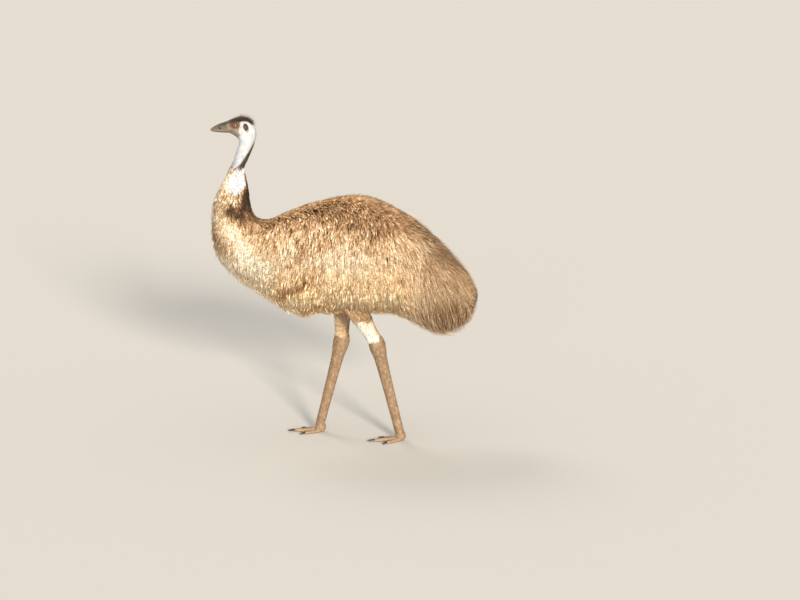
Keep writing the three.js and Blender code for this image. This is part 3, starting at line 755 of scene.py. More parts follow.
def bill_half(upper):
    share = 1 - (1 - np.linspace(0, 1, 110)) ** 1.25
    share, ang = np.meshgrid(share, np.arange(84) * 2 * math.pi / 84, indexing="ij")
    reach = share * (1.0 if upper else 0.965)
    y = BILL["base"][0] + (BILL["tip"][0] - BILL["base"][0]) * reach
    gape = BILL["base"][1] + (BILL["tip"][1] - BILL["base"][1]) * reach - BILL["sag"] * np.sin(math.pi * reach)
    end = np.sqrt(np.clip(1 - np.clip((share - 0.955) / 0.045, 0, 1) ** 2.4, 0.02, 1))
    w = (keyed(BILL["keys"], share, 1) * (1 if upper else 0.9) - 0.3) * end
    tall = (keyed(BILL["keys"], share, 2 if upper else 3) - 0.3) * (0.35 + 0.65 * end)
    c, n = np.cos(ang), np.sin(ang)
    arch = np.where(n > 1e-9, tall * np.abs(n) ** (1.2 if upper else 1.0), 0.25 * n)
    z = gape + (0.2 + arch if upper else -0.2 - arch)
    power = 0.9 if upper else 0.85
    p = np.stack([w * np.sign(c) * np.abs(c) ** power, y, z], -1)
    if upper:
        # nostril, the groove that runs on from it, and the raised culmen
        out = np.sign(p[..., 0:1]) * np.array([1.0, 0, 0.35])
        d = np.hypot((p[..., 1] + 569) / 9.5, (p[..., 2] - 1471.5 + (p[..., 1] + 569) * 0.10) / 3.4)
        sunk = -3.6 * ramp(1.05 - d, 0, 0.55) + 0.3 * np.exp(-(((d - 1.35) / 0.3) ** 2))
        line = np.exp(-(((p[..., 2] - 1469.5 - (p[..., 1] + 569) * 0.10) / 1.8) ** 2)) * ramp(-572 - p[..., 1], 0, 8) * ramp(p[..., 1] + 604, 0, 8)
        sunk = sunk - 0.8 * line + 0.5 * np.exp(-(((p[..., 2] - 1480 - (p[..., 1] + 540) * 0.2) / 4) ** 2)) * ramp(-530 - p[..., 1], 0, 10)
        p = p + out * (sunk * ramp(np.abs(c), 0.15, 0.35) * (n > 0))[..., None]
        # painted shade: the nostril opening is near black
        dark = ramp(1.1 - d, 0, 0.5)
        base = mix(srgb(88, 76, 66), srgb(52, 44, 39), ramp(z - gape, 18, 38))
        base = mix(base, srgb(134, 118, 102), 0.55 * ramp(8 - (z - gape), 0, 7) * ramp(share, 0.1, 0.5))
        base = mix(base, srgb(120, 106, 94), 0.35 * ramp(share, 0.75, 1.0))
        base = mix(base, srgb(26, 21, 18), dark)
        base = mix(base, srgb(96, 83, 71), 0.8 * ramp(0.16 - share, 0, 0.14))
    else:
        base = mix(srgb(96, 83, 72), srgb(64, 54, 47), ramp(share, 0.2, 0.9))
    base = mix(base, base * 1.35, 0.4 * wave(p * np.array([1, 0.35, 1]), 9, 71)) * np.array([0.86, 0.88, 0.82])
    name = "bill_top" if upper else "bill_low"
    made = loft(name, p, base)
    dress(made, HORN)
    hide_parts("bill_upper" if upper else "bill_lower")


# ------------------------------------------------------------------ eyes
def eye(side):
    axis = np.array([side * 1.0, -0.10, 0.03])
    axis /= np.linalg.norm(axis)
    up = np.array([0, 0, 1.0])
    t = np.cross(up, axis)
    t /= np.linalg.norm(t)
    b = np.cross(axis, t)
    polar, ang = np.meshgrid(np.concatenate([np.linspace(0.004, 1.0, 70), np.linspace(1.03, 3.12, 40)]), np.arange(96) * 2 * math.pi / 96, indexing="ij")
    r = EYE["r"] - 0.25
    bulge = 0.9 * np.exp(-((polar / 0.42) ** 2))
    p = (axis * np.cos(polar)[..., None] + t * (np.sin(polar) * np.cos(ang))[..., None] + b * (np.sin(polar) * np.sin(ang))[..., None]) * (r - 0.6 + bulge)[..., None]
    p = p * (1 - 0.32 * ramp(polar, 0.86, 1.15))[..., None]
    p = p + np.array([side * EYE["x"], EYE["y"], EYE["z"]])
    dist = np.sin(polar) * r
    rays = 0.5 + 0.5 * np.sin(ang * 37 + 3 * np.sin(ang * 11)) * 0.6
    iris = mix(srgb(160, 92, 35), srgb(110, 59, 24), rays)
    iris = mix(iris, srgb(170, 106, 46), 0.5 * np.exp(-(((dist - 5.0) / 1.2) ** 2)))
    colour = mix(srgb(8, 6, 6), iris, ramp(dist, 3.6, 4.1))
    colour = mix(colour, srgb(38, 22, 15), ramp(dist, 8.9, 10.4) * 0.95)
    colour = np.where((polar > 1.4)[..., None], srgb(50, 34, 26), colour)
    made = loft("eye_ball_left" if side > 0 else "eye_ball_right", p, colour)
    dress(made, EYE_MAT)
    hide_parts("eye_left" if side > 0 else "eye_right")
    # the dark rim of the lids
    s, k = 120, 12
    theta, phi = np.meshgrid(np.arange(s) * 2 * math.pi / s, np.arange(k) * 2 * math.pi / k, indexing="ij")
    dy, dz = 10.75 * np.cos(theta), 8.65 * np.sin(theta)
    rim = EYE["r"] + 0.45
    centre = np.stack([side * (EYE["x"] + np.sqrt(rim**2 - dy**2 - dz**2)), EYE["y"] + dy, EYE["z"] + dz], -1)
    outward = np.stack([np.zeros_like(dy), np.cos(theta), np.sin(theta)], -1)
    thick = 0.85 + 0.15 * np.sin(theta) + 0.08 * np.sin(theta * 17) * np.sin(theta * 5)
    ring = centre + outward * (thick * np.cos(phi))[..., None] + np.array([side * 1.0, 0, 0]) * (thick * np.sin(phi))[..., None]
    i, j = np.meshgrid(np.arange(s), np.arange(k), indexing="ij")
    ni, nj = (i + 1) % s, (j + 1) % k
    quads = np.stack([i * k + j, ni * k + j, ni * k + nj, i * k + nj], -1).reshape(-1, 4)
    if side < 0:
        quads = quads[:, ::-1]
    lid = new_mesh("lid_left" if side > 0 else "lid_right", ring, quads.ravel(), np.arange(len(quads)) * 4,
                   np.tile(srgb(44, 35, 30), (s * k, 1)))
    dress(lid, SKIN)


# ------------------------------------------------------------------ plumage
def lay(p, u, a, n):
    """Direction the coat lies in, as world vectors."""
    y, z = p[..., 1], p[..., 2]
    tu = tangents(u, a)[0]
    back = tu / np.maximum(np.linalg.norm(tu, axis=-1, keepdims=True), 1e-9)
    side = np.sign(np.sin(a))
    g = np.zeros(p.shape)
    lean = np.interp(y, [-520, -420, -300, -60, 120, 220, 300], [-0.05, -0.34, -0.24, -0.16, -0.06, 0.12, 0.42])
    g[..., 0] = 0.42 * side * ramp(np.cos(a), 0.3, 1.0)
    g[..., 1] = lean + 0.55 * ramp(np.cos(a), 0.55, 1.0)
    g[..., 2] = -1.0
    # neck: along its own line
    neck = ramp(13.6 - u, 0, 2.4)[..., None]
    g = back * neck + g * (1 - neck)
    # rump: a fan that opens from the root of the tail
    fan = np.stack([0.12 * np.sin(a), y - 300, z - 1010], -1)
    fan /= np.maximum(np.linalg.norm(fan, axis=-1, keepdims=True), 1e-9)
    fan[..., 2] -= 0.25
    fan[..., 1] = np.maximum(fan[..., 1], 0.12)
    tail = ramp(y, 230, 400)[..., None]
    g = g * (1 - tail) + fan * tail
    # underside: trails back
    under = ramp(-np.cos(a), 0.82, 1.0)[..., None]
    g = g * (1 - under) + (back + np.array([0, 0, -0.2])) * under
    # over the end of the tail the strands run straight off it
    end = ramp(u, 26.6, 28.0)[..., None]
    g = g / np.maximum(np.linalg.norm(g, axis=-1, keepdims=True), 1e-9) * (1 - end) + back * end
    # small unevenness, so that the coat doesn't look combed
    turn = (0.20 * wave(p, 95, 101) + 0.20 * wave(p, 34, 102)) * ramp(u, 9.5, 12)
    return g * np.cos(turn)[..., None] + np.cross(n, g) * np.sin(turn)[..., None]


def relief(p):
    """Height of the plumage over the plain form (mm): the folded wing and loose clumps."""
    y, z = p[..., 1], p[..., 2]
    t = 0.604
    dy, dz = y + 295, z - 850
    along, across = -dy * math.sin(t) + dz * math.cos(t), dy * math.cos(t) + dz * math.sin(t)
    r = np.hypot(along / 150, across / 62)
    wing = ramp(1.05 - r, 0, 0.35) * ramp(np.abs(p[..., 0]), 90, 130)
    return 6.0 * wing + 1.8 * wave(p, 60, 103) * ramp(1150 - z, 0, 120)


def flow(u, a):
    """(du, da, n) of one millimetre along the lay."""
    tu, ta, n = tangents(u, a)
    p = surf(u, a)
    g = lay(p, u, a, n)
    uu, aa, ua = (tu * tu).sum(-1), (ta * ta).sum(-1), (tu * ta).sum(-1)
    gu, ga = (g * tu).sum(-1), (g * ta).sum(-1)
    det = np.maximum(uu * aa - ua * ua, 1e-3)
    du, da = (gu * aa - ga * ua) / det, (ga * uu - gu * ua) / det
    step = tu * du[..., None] + ta * da[..., None]
    size = np.maximum(np.linalg.norm(step, axis=-1), 1e-3)
    return du / size, da / size, n


def upstream(u, a, length, steps):
    """Paths that end at (u, a): arrays (steps + 1, N) from root to tip."""
    us, as_ = [u], [a]
    for _ in range(steps):
        du, da, _n = flow(us[-1], as_[-1])
        h = length / steps
        du2, da2, _n = flow(np.clip(us[-1] - du * h / 2, 0, U_END), as_[-1] - da * h / 2)
        us.append(np.clip(us[-1] - du2 * h, 0.0, U_END))
        as_.append(as_[-1] - da2 * h)
    return np.array(us[::-1]), np.array(as_[::-1])


def scatter(u0, u1, count, weight=None):
    """Places spread evenly by area over the body between two stations."""
    gu, ga = 220, 240
    uu, aa = np.meshgrid(u0 + (np.arange(gu) + 0.5) / gu * (u1 - u0), (np.arange(ga) + 0.5) / ga * 2 * math.pi, indexing="ij")
    tu, ta, _n = tangents(uu, aa)
    w = np.linalg.norm(np.cross(tu, ta), axis=-1)
    if weight is not None:
        w = w * weight(uu, aa)
    w = w.ravel() / w.sum()
    # systematic draw keeps the spacing even
    picks = np.searchsorted(np.cumsum(w), (np.arange(count) + rng.random(count)) / count)
    picks = np.clip(picks, 0, gu * ga - 1)
    i, j = picks // ga, picks % ga
    return (u0 + (i + rng.random(count)) / gu * (u1 - u0), (j + rng.random(count)) / ga * 2 * math.pi)


def strands(name, path, half, normal, colour, place, material, body="root"):
    """Closed, flattened, tapering strands. path (N, K, 3) mm, half widths (N, K - 1), normals (N, 3),
    colours (N, K, 3), place (N, 2) on the unwrap."""
    count, k = path.shape[:2]
    t = np.zeros_like(path)
    t[:, 1:-1] = path[:, 2:] - path[:, :-2]
    t[:, 0] = path[:, 1] - path[:, 0]
    t[:, -1] = path[:, -1] - path[:, -2]
    t /= np.maximum(np.linalg.norm(t, axis=-1, keepdims=True), 1e-9)
    side = np.cross(t, normal[:, None, :])
    side /= np.maximum(np.linalg.norm(side, axis=-1, keepdims=True), 1e-9)
    up = np.cross(side, t)
    rings = k - 1
    h = half[..., None]
    s, q, base = side[:, :rings], up[:, :rings], path[:, :rings]
    ring = np.stack([base - s * h - q * h * 0.15, base + s * h - q * h * 0.15, base + q * h * 0.55], 2)
    verts = np.concatenate([ring.reshape(count, rings * 3, 3), path[:, -1:, :]], 1)
    per = rings * 3 + 1
    loops, uvs, sizes = [], [], []
    third = [0.0, 1 / 3, 2 / 3, 1.0]
    level = np.linspace(0.08, 0.92, rings)
    loops += [0, 2, 1]
    uvs += [(0.1, 0.0), (0.5, 0.06), (0.9, 0.0)]
    sizes.append(3)
    for r in range(rings - 1):
        for e in range(3):
            n = (e + 1) % 3
            loops += [r * 3 + e, r * 3 + n, (r + 1) * 3 + n, (r + 1) * 3 + e]
            uvs += [(third[e], level[r]), (third[e + 1], level[r]), (third[e + 1], level[r + 1]), (third[e], level[r + 1])]
            sizes.append(4)
    for e in range(3):
        n = (e + 1) % 3
        loops += [(rings - 1) * 3 + e, (rings - 1) * 3 + n, per - 1]
        uvs += [(third[e], level[-1]), (third[e + 1], level[-1]), ((third[e] + third[e + 1]) / 2, 1.0)]
        sizes.append(3)
    loops, uvs, sizes = np.array(loops), np.array(uvs), np.array(sizes)
    all_loops = (loops[None] + (np.arange(count) * per)[:, None]).ravel()
    starts = np.concatenate([[0], np.cumsum(sizes)[:-1]])
    all_starts = (starts[None] + (np.arange(count) * len(loops))[:, None]).ravel()
    patch = 0.003
    uv = place[:, None, :] * (1 - patch) + uvs[None] * patch
    tint = np.concatenate([np.repeat(colour[:, :rings], 3, axis=1), colour[:, -1:]], 1)
    made = new_mesh(name, verts.reshape(-1, 3), all_loops, all_starts, tint.reshape(-1, 3), uv.reshape(-1, 2))
    dress(made, material, body)
    return made


def unwrap(u, a, u0, u1):
    return np.stack([(a / (2 * math.pi)) % 1.0, np.clip((u - u0) / (u1 - u0), 0, 1)], -1)


def coat_band(name, u0, u1, clumps, per_clump, k):
    """One piece of the coat: clumps of strands, k points each, whose tips lie between two stations."""
    ut, at_ = scatter(u0, u1, clumps, lambda u, a: (1.0 + 0.5 * ramp(12.5 - u, 0, 2)) * (1 - 0.45 * ramp(-np.cos(a), 0.8, 0.95))
                      * (0.1 + ramp(u, 8.9, 9.9)))
    length = np.interp(ut, np.arange(len(TABLE)), TABLE[:, 8]) * rng.uniform(0.68, 1.05, clumps)
    # strands of the tail reach back to the end of the flesh
    far_u, far_a = ut.copy(), at_.copy()
    need = np.zeros(clumps)
    for _ in range(22):
        out = far_u > SKIN_END - 0.7
        du, da, _n = flow(far_u, far_a)
        far_u = np.where(out, far_u - du * 18, far_u)
        far_a = np.where(out, far_a - da * 18, far_a)
        need += np.where(out, 18, 0)
    length = np.maximum(length, need)
    steps = 6
    us, as_ = upstream(ut, at_, length, steps)
    levels = {3: [0.0, 0.74, 1.0], 4: [0.0, 0.45, 0.80, 1.0]}[k]
    root_depth = depth(us[0], as_[0]) + 1.0
    # some clumps stand a little proud and others sink; the proud ones get painted light and the sunk ones painted
    # shade
    proud = np.clip(rng.normal(0, 1, clumps), -2, 2) * (1 - 0.5 * ramp(np.cos(at_), 0.3, 0.8) * ramp(ut, 13, 15))
    size = np.clip(root_depth / 40, 0.12, 1.3)
    pt = surf(ut, at_)
    tip_depth = (4.0 - 2.8 * proud) * size - relief(pt)
    tail = ramp(pt[:, 1], 250, 430)
    # the tail feathers part into loose locks that run out along the fan
    turn = np.arctan2(pt[:, 2] - 1010, pt[:, 1] - 270)
    lock = wave(np.stack([pt[:, 0] * 0.9, turn * 300, np.hypot(pt[:, 1] - 270, pt[:, 2] - 1010) * 0.42], -1), 52, 131)
    tip_depth = tip_depth - 8.0 * lock * tail
    # a skirt of hanging tips along the lower edge
    hem = ramp(-np.cos(at_), 0.35, 0.7) * ramp(ut, 12, 15)
    tip_depth = tip_depth - 8.0 * hem * rng.random(clumps) - 2.0 * hem - 7.0 * tail * rng.random(clumps)
    tip_depth = np.maximum(tip_depth, -12.0)
    # a loose tuft hangs below the wing, and the hem draws up behind it
    y0 = pt[:, 1]
    tip_depth = tip_depth - hem * (15 * np.exp(-(((y0 + 172) / 30) ** 2)) - 12 * np.exp(-(((y0 + 92) / 30) ** 2)))
    tip_depth = tip_depth - hem * 15 * np.exp(-(((y0 - 95) / 55) ** 2)) * (np.abs(pt[:, 0]) > 50)
    tip_depth = tip_depth - hem * 7 * wave(pt, 30, 132)
    pale = paleness(pt, ut, at_) + 0.12 * lock * tail
    # random pale and dark flecks, plus painted light on proud clumps and painted shade on sunk ones
    fleck = np.where(rng.random(clumps) < 0.28, 0.16, -0.05) + rng.normal(0, 0.07, clumps) + 0.06 * proud
    fleck = fleck + rng.normal(0, 0.10, clumps) * np.maximum(hem, tail)
    fleck = fleck * (1 + 0.9 * ramp(13.6 - ut, 0, 1.5) * ramp(ut, 10.5, 11.5))
    pale = pale + fleck * np.interp(pale, [0.15, 0.36, 0.52, 0.75, 1.0], [0.5, 0.55, 1.1, 1.0, 0.4])
    grey = np.clip(ramp(pt[:, 1], 260, 480) * 0.7 + 0.08 * rng.random(clumps), 0, 1)
    radius = np.interp(ut, [9, 11, 14, 20, 26], [2.6, 4.0, 5.0, 5.4, 8.0])
    # strands of each clump
    m = per_clump
    n = clumps * m
    who = np.repeat(np.arange(clumps), m)
    ang = rng.uniform(0, 2 * math.pi, n)
    rad = np.sqrt(rng.random(n)) * radius[who]
    off = np.stack([rad * np.cos(ang), rad * np.sin(ang)], -1)
    frizz = rng.normal(0, 1, (n, 2)) * (1.6 + 0.8 * size[who][:, None] + 8.0 * tail[who][:, None])
    path = np.zeros((n, k, 3))
    reach = 1 - np.abs(rng.normal(0, 0.09, n))              # strands of a clump end at uneven lengths
    stray = rng.random(n) < 0.07 + 0.08 * tail[who]
    jitter = rng.normal(0, 1, n)
    for i in range(k):
        # position along the clump's own line, shortened by reach
        si = levels[i] * reach
        x = si * steps
        lo = np.minimum(np.floor(x).astype(int), steps - 1)
        f = x - lo
        ui = us[lo, who] * (1 - f) + us[lo + 1, who] * f
        ai = as_[lo, who] * (1 - f) + as_[lo + 1, who] * f
        tu, ta, nn = tangents(ui, ai)
        su = np.maximum(np.linalg.norm(tu, axis=-1), 4.0)
        sa = np.maximum(np.linalg.norm(ta, axis=-1), 4.0)
        spread = 1 - 0.72 * si
        o = off * spread[:, None] + frizz * (si**2)[:, None] * np.where(stray, 2.6, 1.0)[:, None]
        ui = np.clip(ui + o[:, 0] / su, 0.0, U_END)
        ai = ai + o[:, 1] / sa
        rise = si ** (1.6 - 0.5 * tail[who])
        g = -root_depth[who] * (1 - rise) - tip_depth[who] * rise
        g = g + jitter * 1.8 * size[who] * si + np.where(stray, 5.5, 0.0) * size[who] * si**2
        g = np.minimum(g, np.where(hem[who] > 0.5, 24.0, 9.5 + 7.0 * tail[who]))
        path[:, i] = surf(ui, ai, g)
        if i == 1:
            normal = nn
    width = np.interp(ut, [9, 11, 13, 18, 24, 27], [0.8, 1.15, 1.5, 1.7, 1.65, 1.55])[who] * rng.uniform(0.6, 1.4, n)
    profile = np.array({3: [0.75, 1.0], 4: [0.7, 1.0, 0.85]}[k])
    half = width[:, None] * profile[None]
    normal = normal + rng.normal(0, 0.35, normal.shape)
    normal /= np.linalg.norm(normal, axis=-1, keepdims=True)
    v = pale[who] + rng.normal(0, 1, n) * (0.07 + 0.11 * tail[who] + 0.08 * hem[who])
    # darker towards the root of each strand: painted shade in the gaps between the clumps
    fade = np.interp(levels, [0, 0.45, 0.74, 0.80, 1.0], [0.08, 0.40, 0.74, 0.84, 1.12])
    plain = np.maximum(0.5 * tail, ramp(pale, 0.72, 0.95))[who][:, None]
    fade = fade[None] + (1 - fade[None]) * plain
    # pale or dark at the tip, so that the flecks stay short
    fade = fade * np.concatenate([np.ones((n, k - 2)), rng.uniform(0.72, 1.16, (n, 2))], 1)
    colour = tone(v[:, None] * fade, grey[who][:, None] * np.ones((1, k)))
    # painted warm sunlight on the lower sides
    colour = warmed(colour, painted_warm_light(pt)[who][:, None] * np.ones((1, k)))
    white = collar_at(pt[:, 1], pt[:, 2])[who][:, None] * ramp(pale, 0.75, 0.95)[who][:, None]
    colour = mix(colour, srgb(222, 227, 238), 0.9 * white * np.ones((1, k)))
    place = unwrap(us[0, who] + off[:, 0] / 200, as_[0, who] + off[:, 1] / 200, max(u0 - 3.0, 0), u1)
    return strands(name, path, half, normal, colour, place, COAT)


def bristle_band(name, u0, u1, count, weight, length, lift, width, colour, tries=1.0):
    """Hair-like feathers of head and neck. length, lift, width and colour are functions of (p, u, a)."""
    ur, ar = scatter(u0, u1, count, weight)
    p = surf(ur, ar)
    tu, ta, n = tangents(ur, ar)
    size = length(p, ur, ar) * rng.uniform(0.65, 1.25, count)
    up = lift(p, ur, ar)
    du, da, _n = flow(ur, ar)
    d = tu * du[:, None] + ta * da[:, None]
    d = d / np.maximum(np.linalg.norm(d, axis=-1, keepdims=True), 1e-9)
    side = np.cross(n, d)
    d = d + side * rng.normal(0, 0.34, count)[:, None]
    d /= np.linalg.norm(d, axis=-1, keepdims=True)
    inset = depth(ur, ar)
    root = surf(ur, ar, -inset - 0.6)
    root = root + n * np.zeros((count, 1))
    k = 3
    sway = rng.normal(0, 0.22, count)
    path = np.zeros((count, k, 3))
    for i in range(k):
        s = i / (k - 1)
        path[:, i] = (root + d * (size * (0.8 * s + 0.2 * s * s))[:, None] + n * ((0.6 + up * size * (s - 0.45 * s * s)))[:, None]
                      + side * (sway * size * (s * s - 0.3 * s))[:, None])
    path[:, 0] = root
    w = width(p, ur, ar) * rng.uniform(0.75, 1.25, count)
    half = np.stack([w, w * 0.75], 1)
    tint = colour(p, ur, ar)
    tint = tint * rng.uniform(0.75, 1.3, count)[:, None]
    cols = np.stack([tint, tint, tint], 1)
    nn = n + rng.normal(0, 0.3, n.shape)
    nn /= np.linalg.norm(nn, axis=-1, keepdims=True)
    return strands(name, path, half, nn, cols, unwrap(ur, ar, u0, u1), HAIRS)


def plumage():
    bands = [
        ("coat_neck", 8.9, 12.6, 2100, 6, 3),
        ("coat_breast", 12.6, 15.4, 3500, 4, 3),
        ("coat_shoulder", 15.4, 17.2, 3550, 4, 3),
        ("coat_flank_fore", 17.2, 18.8, 3480, 4, 3),
        ("coat_flank_mid", 18.8, 20.3, 3480, 4, 3),
        ("coat_flank_rear", 20.3, 21.8, 3480, 4, 3),
        ("coat_rump", 21.8, 23.5, 3480, 4, 3),
        ("coat_tail_root", 23.5, 25.6, 2850, 5, 3),
        ("coat_tail", 25.6, 29.0, 1270, 6, 4),
    ]
    for band in bands:
        coat_band(*band)


def wisps():
    """Single long feathers that stand a little out of the rump and tail and droop at the tip."""
    count = 1500 // 1
    ut, at_ = scatter(22.2, 28.8, count, lambda u, a: ramp(u, 22.2, 25.5) * (0.5 + ramp(-np.cos(a), -0.2, 0.9)))
    length = rng.uniform(70, 150, count)
    us, as_ = upstream(ut, at_, length, 3)
    top = rng.uniform(3, 20, count)
    path = np.zeros((count, 4, 3))
    root_depth = np.minimum(depth(us[0], as_[0]), 26)
    for i, s in enumerate([0.0, 0.4, 0.75, 1.0]):
        x = s * 3
        lo = min(int(x), 2)
        ui = us[lo] * (1 - x + lo) + us[lo + 1] * (x - lo)
        ai = as_[lo] * (1 - x + lo) + as_[lo + 1] * (x - lo) + rng.normal(0, 0.012, count)
        path[:, i] = surf(ui, ai, -root_depth * (1 - s) ** 1.5 + top * math.sin(s * 2.2))
    path[:, 3, 2] -= rng.uniform(0, 9, count)
    path[:, 2, 2] -= rng.uniform(0, 3, count)
    n = tangents(ut, at_)[2] + rng.normal(0, 0.4, (count, 3))
    n /= np.linalg.norm(n, axis=-1, keepdims=True)
    half = rng.uniform(0.35, 0.8, count)[:, None] * np.array([[0.9, 1.0, 0.8]])
    p = surf(ut, at_)
    v = paleness(p, ut, at_) + rng.normal(0.06, 0.16, count)
    grey = ramp(p[:, 1], 260, 480) * 0.7
    # darker towards the root: painted shade down among the feathers
    colour = np.stack([tone(v * f, grey) for f in (0.6, 0.85, 1.0, 1.1)], 1)
    strands("coat_wisps", path, half, n, colour, unwrap(us[0], as_[0], 19.0, 29.0), COAT)


def tail_core():
    """Feathers that fill the end of the tail, seen from behind between the outer ones."""
    count = 1900 // 1
    u = rng.uniform(26.3, 28.95, count)
    a = rng.uniform(0, 2 * math.pi, count)
    mid = 0.5 * (surf(u, 0 * a) + surf(u, 0 * a + math.pi))
    tip = mid + (surf(u, a) - mid) * (0.97 * np.sqrt(rng.random(count)))[:, None]
    base_mid = 0.5 * (surf(SKIN_END - 0.6, 0.0) + surf(SKIN_END - 0.6, math.pi))
    # back to the end of the flesh, each from its own side of it
    base_rim = surf(SKIN_END - 0.6, a, -depth(SKIN_END - 0.6, a) - 4)
    root = base_mid + (base_rim - base_mid) * rng.uniform(0.5, 1.0, count)[:, None]
    path = np.zeros((count, 4, 3))
    bend = rng.normal(0, 7, (count, 3))
    for i, s in enumerate([0.0, 0.5, 0.82, 1.0]):
        path[:, i] = root + (tip - root) * s + bend * math.sin(math.pi * s)
        path[:, i, 2] += 14 * math.sin(math.pi * s)
    n = rng.normal(0, 1, (count, 3))
    n /= np.linalg.norm(n, axis=-1, keepdims=True)
    half = rng.uniform(1.0, 2.0, count)[:, None] * np.array([[0.7, 1.0, 0.9]])
    v = 0.34 + rng.normal(0, 0.13, count)
    grey = np.full(count, 0.6)
    # very dark at the root, deep inside the tail: painted shade
    colour = np.stack([tone(v * f, grey) for f in (0.2, 0.5, 0.85, 1.05)], 1)
    strands("coat_tail_core", path, half, n, colour, unwrap(u - 3, a, 19.0, 29.0), COAT)


def head_hair():
    flat = lambda v: (lambda p, u, a: np.full(u.shape, float(v)))

    def away(p, u):
        """0 over the eye, the ear opening and the gape, 1 elsewhere."""
        keep = ramp(eye_distance(p[..., 1], p[..., 2]), 11.5, 14.0)
        keep = keep * ramp(ear_distance(p[..., 1], p[..., 2]), 1.15, 1.3)
        return np.where(u < 6.8, keep, 1.0)

    # crown and nape: dark, dense, standing a little
    def crown_weight(u, a):
        p = surf(u, a)
        c = np.cos(a)
        return (0.010 * ramp(4.6 - u, 0, 1) + crown_at(u, c + 0.03)) * ramp(u, 0.2, 1.2) * away(p, u)

    bristle_band(
        "hair_crown", 0.2, 4.7, 5600, crown_weight,
        lambda p, u, a: np.interp(u, [0.2, 1.0, 2.0, 3, 4.2, 5], [5, 10, 16, 21, 18, 9]) * (0.45 + 0.55 * ramp(np.cos(a), 0.6, 0.9)) * np.where(rng.random(len(u)) < 0.16, 1.65, rng.uniform(0.45, 1.1, len(u))),
        lambda p, u, a: np.interp(u, [0.2, 1.5, 2.5, 3.6, 5], [0.4, 0.8, 0.95, 0.7, 0.35]) * rng.uniform(0.2, 1.5, len(u)),
        lambda p, u, a: np.interp(u, [0.2, 2, 3], [0.18, 0.24, 0.28]),
        lambda p, u, a: mix(HAIR_DARK, srgb(112, 90, 72), 0.75 * rng.random(len(u)) ** 1.5))

    def nape_weight(u, a):
        c = np.cos(a)
        back = (nape_at(u, c) + 0.10 * ramp(c, 0.75, 0.95)) * (1 - ramp(u, 8.6, 9.1))
        return 0.06 + back + 0.06 * ramp(-c, 0.6, 0.95) * ramp(u, 6, 8) + 0.12 * ramp(u, 8.2, 9.0)

    def nape_colour(p, u, a):
        c = np.cos(a)
        brown = mix(srgb(96, 72, 52), srgb(160, 132, 102), rng.random(len(u)))
        out = mix(mix(HAIR_DARK, srgb(116, 98, 84), 0.8 * rng.random(len(u))), brown, ramp(-c, -0.3, 0.5))
        # the thin bristles of the bare neck are paler than the nape
        out = mix(out, mix(srgb(128, 122, 122), srgb(170, 166, 168), rng.random(len(u))), 0.85 * ramp(0.25 - nape_at(u, c), 0, 0.2) * ramp(8.7 - u, 0, 0.6))
        pale = tone(np.clip(paleness(p, u, a), 0, 1), np.zeros(len(u)))
        return mix(out, pale, ramp(u, 8.9, 9.8) * ramp(0.4 - c, 0, 0.4))

    bristle_band(
        "hair_nape", 4.6, 10.4, 4400, nape_weight,
        lambda p, u, a: np.interp(u, [4.6, 8, 10.2], [9, 14, 26]),
        lambda p, u, a: np.interp(u, [4.6, 8, 10.2], [0.35, 0.34, 0.30]),
        lambda p, u, a: np.interp(u, [4.6, 8, 10.2], [0.24, 0.34, 0.7]),
        nape_colour)

    # face: short bristles that leave the pale cheeks and neck nearly bare
    def face_weight(u, a):
        p = surf(u, a)
        dark = ramp(np.interp(p[..., 2], [1410, 1440, 1487, 1518], [-484, -472, -466, -448]) - p[..., 1], -6, 8)
        return (0.035 + dark) * away(p, u) * ramp(u, 0.05, 0.5) * (0.5 + 0.5 * ramp(np.cos(a), -0.9, -0.2))

    def face_colour(p, u, a):
        return mix(srgb(78, 66, 56), srgb(140, 124, 106), 0.5 + 0.5 * wave(p, 12, 81))

    bristle_band(
        "hair_face", 0.05, 6.2, 4300, face_weight,
        lambda p, u, a: np.interp(u, [0.05, 1, 2.5, 6], [2.2, 3.2, 4.2, 6.0]),
        lambda p, u, a: np.full(u.shape, 0.22),
        lambda p, u, a: np.full(u.shape, 0.18),
        face_colour)

    # a fringe round each ear opening
    def ear_weight(u, a):
        p = surf(u, a)
        r = ear_distance(p[..., 1], p[..., 2])
        return np.exp(-(((r - 1.12) / 0.12) ** 2)) * (np.abs(p[..., 0]) > 10)

    bristle_band(
        "hair_ears", 1.8, 6.2, 700, ear_weight,
        lambda p, u, a: np.full(u.shape, 6.5),
        lambda p, u, a: np.full(u.shape, 0.35),
        lambda p, u, a: np.full(u.shape, 0.3),
        lambda p, u, a: mix(srgb(60, 40, 26), srgb(104, 74, 48), rng.random(len(u))))


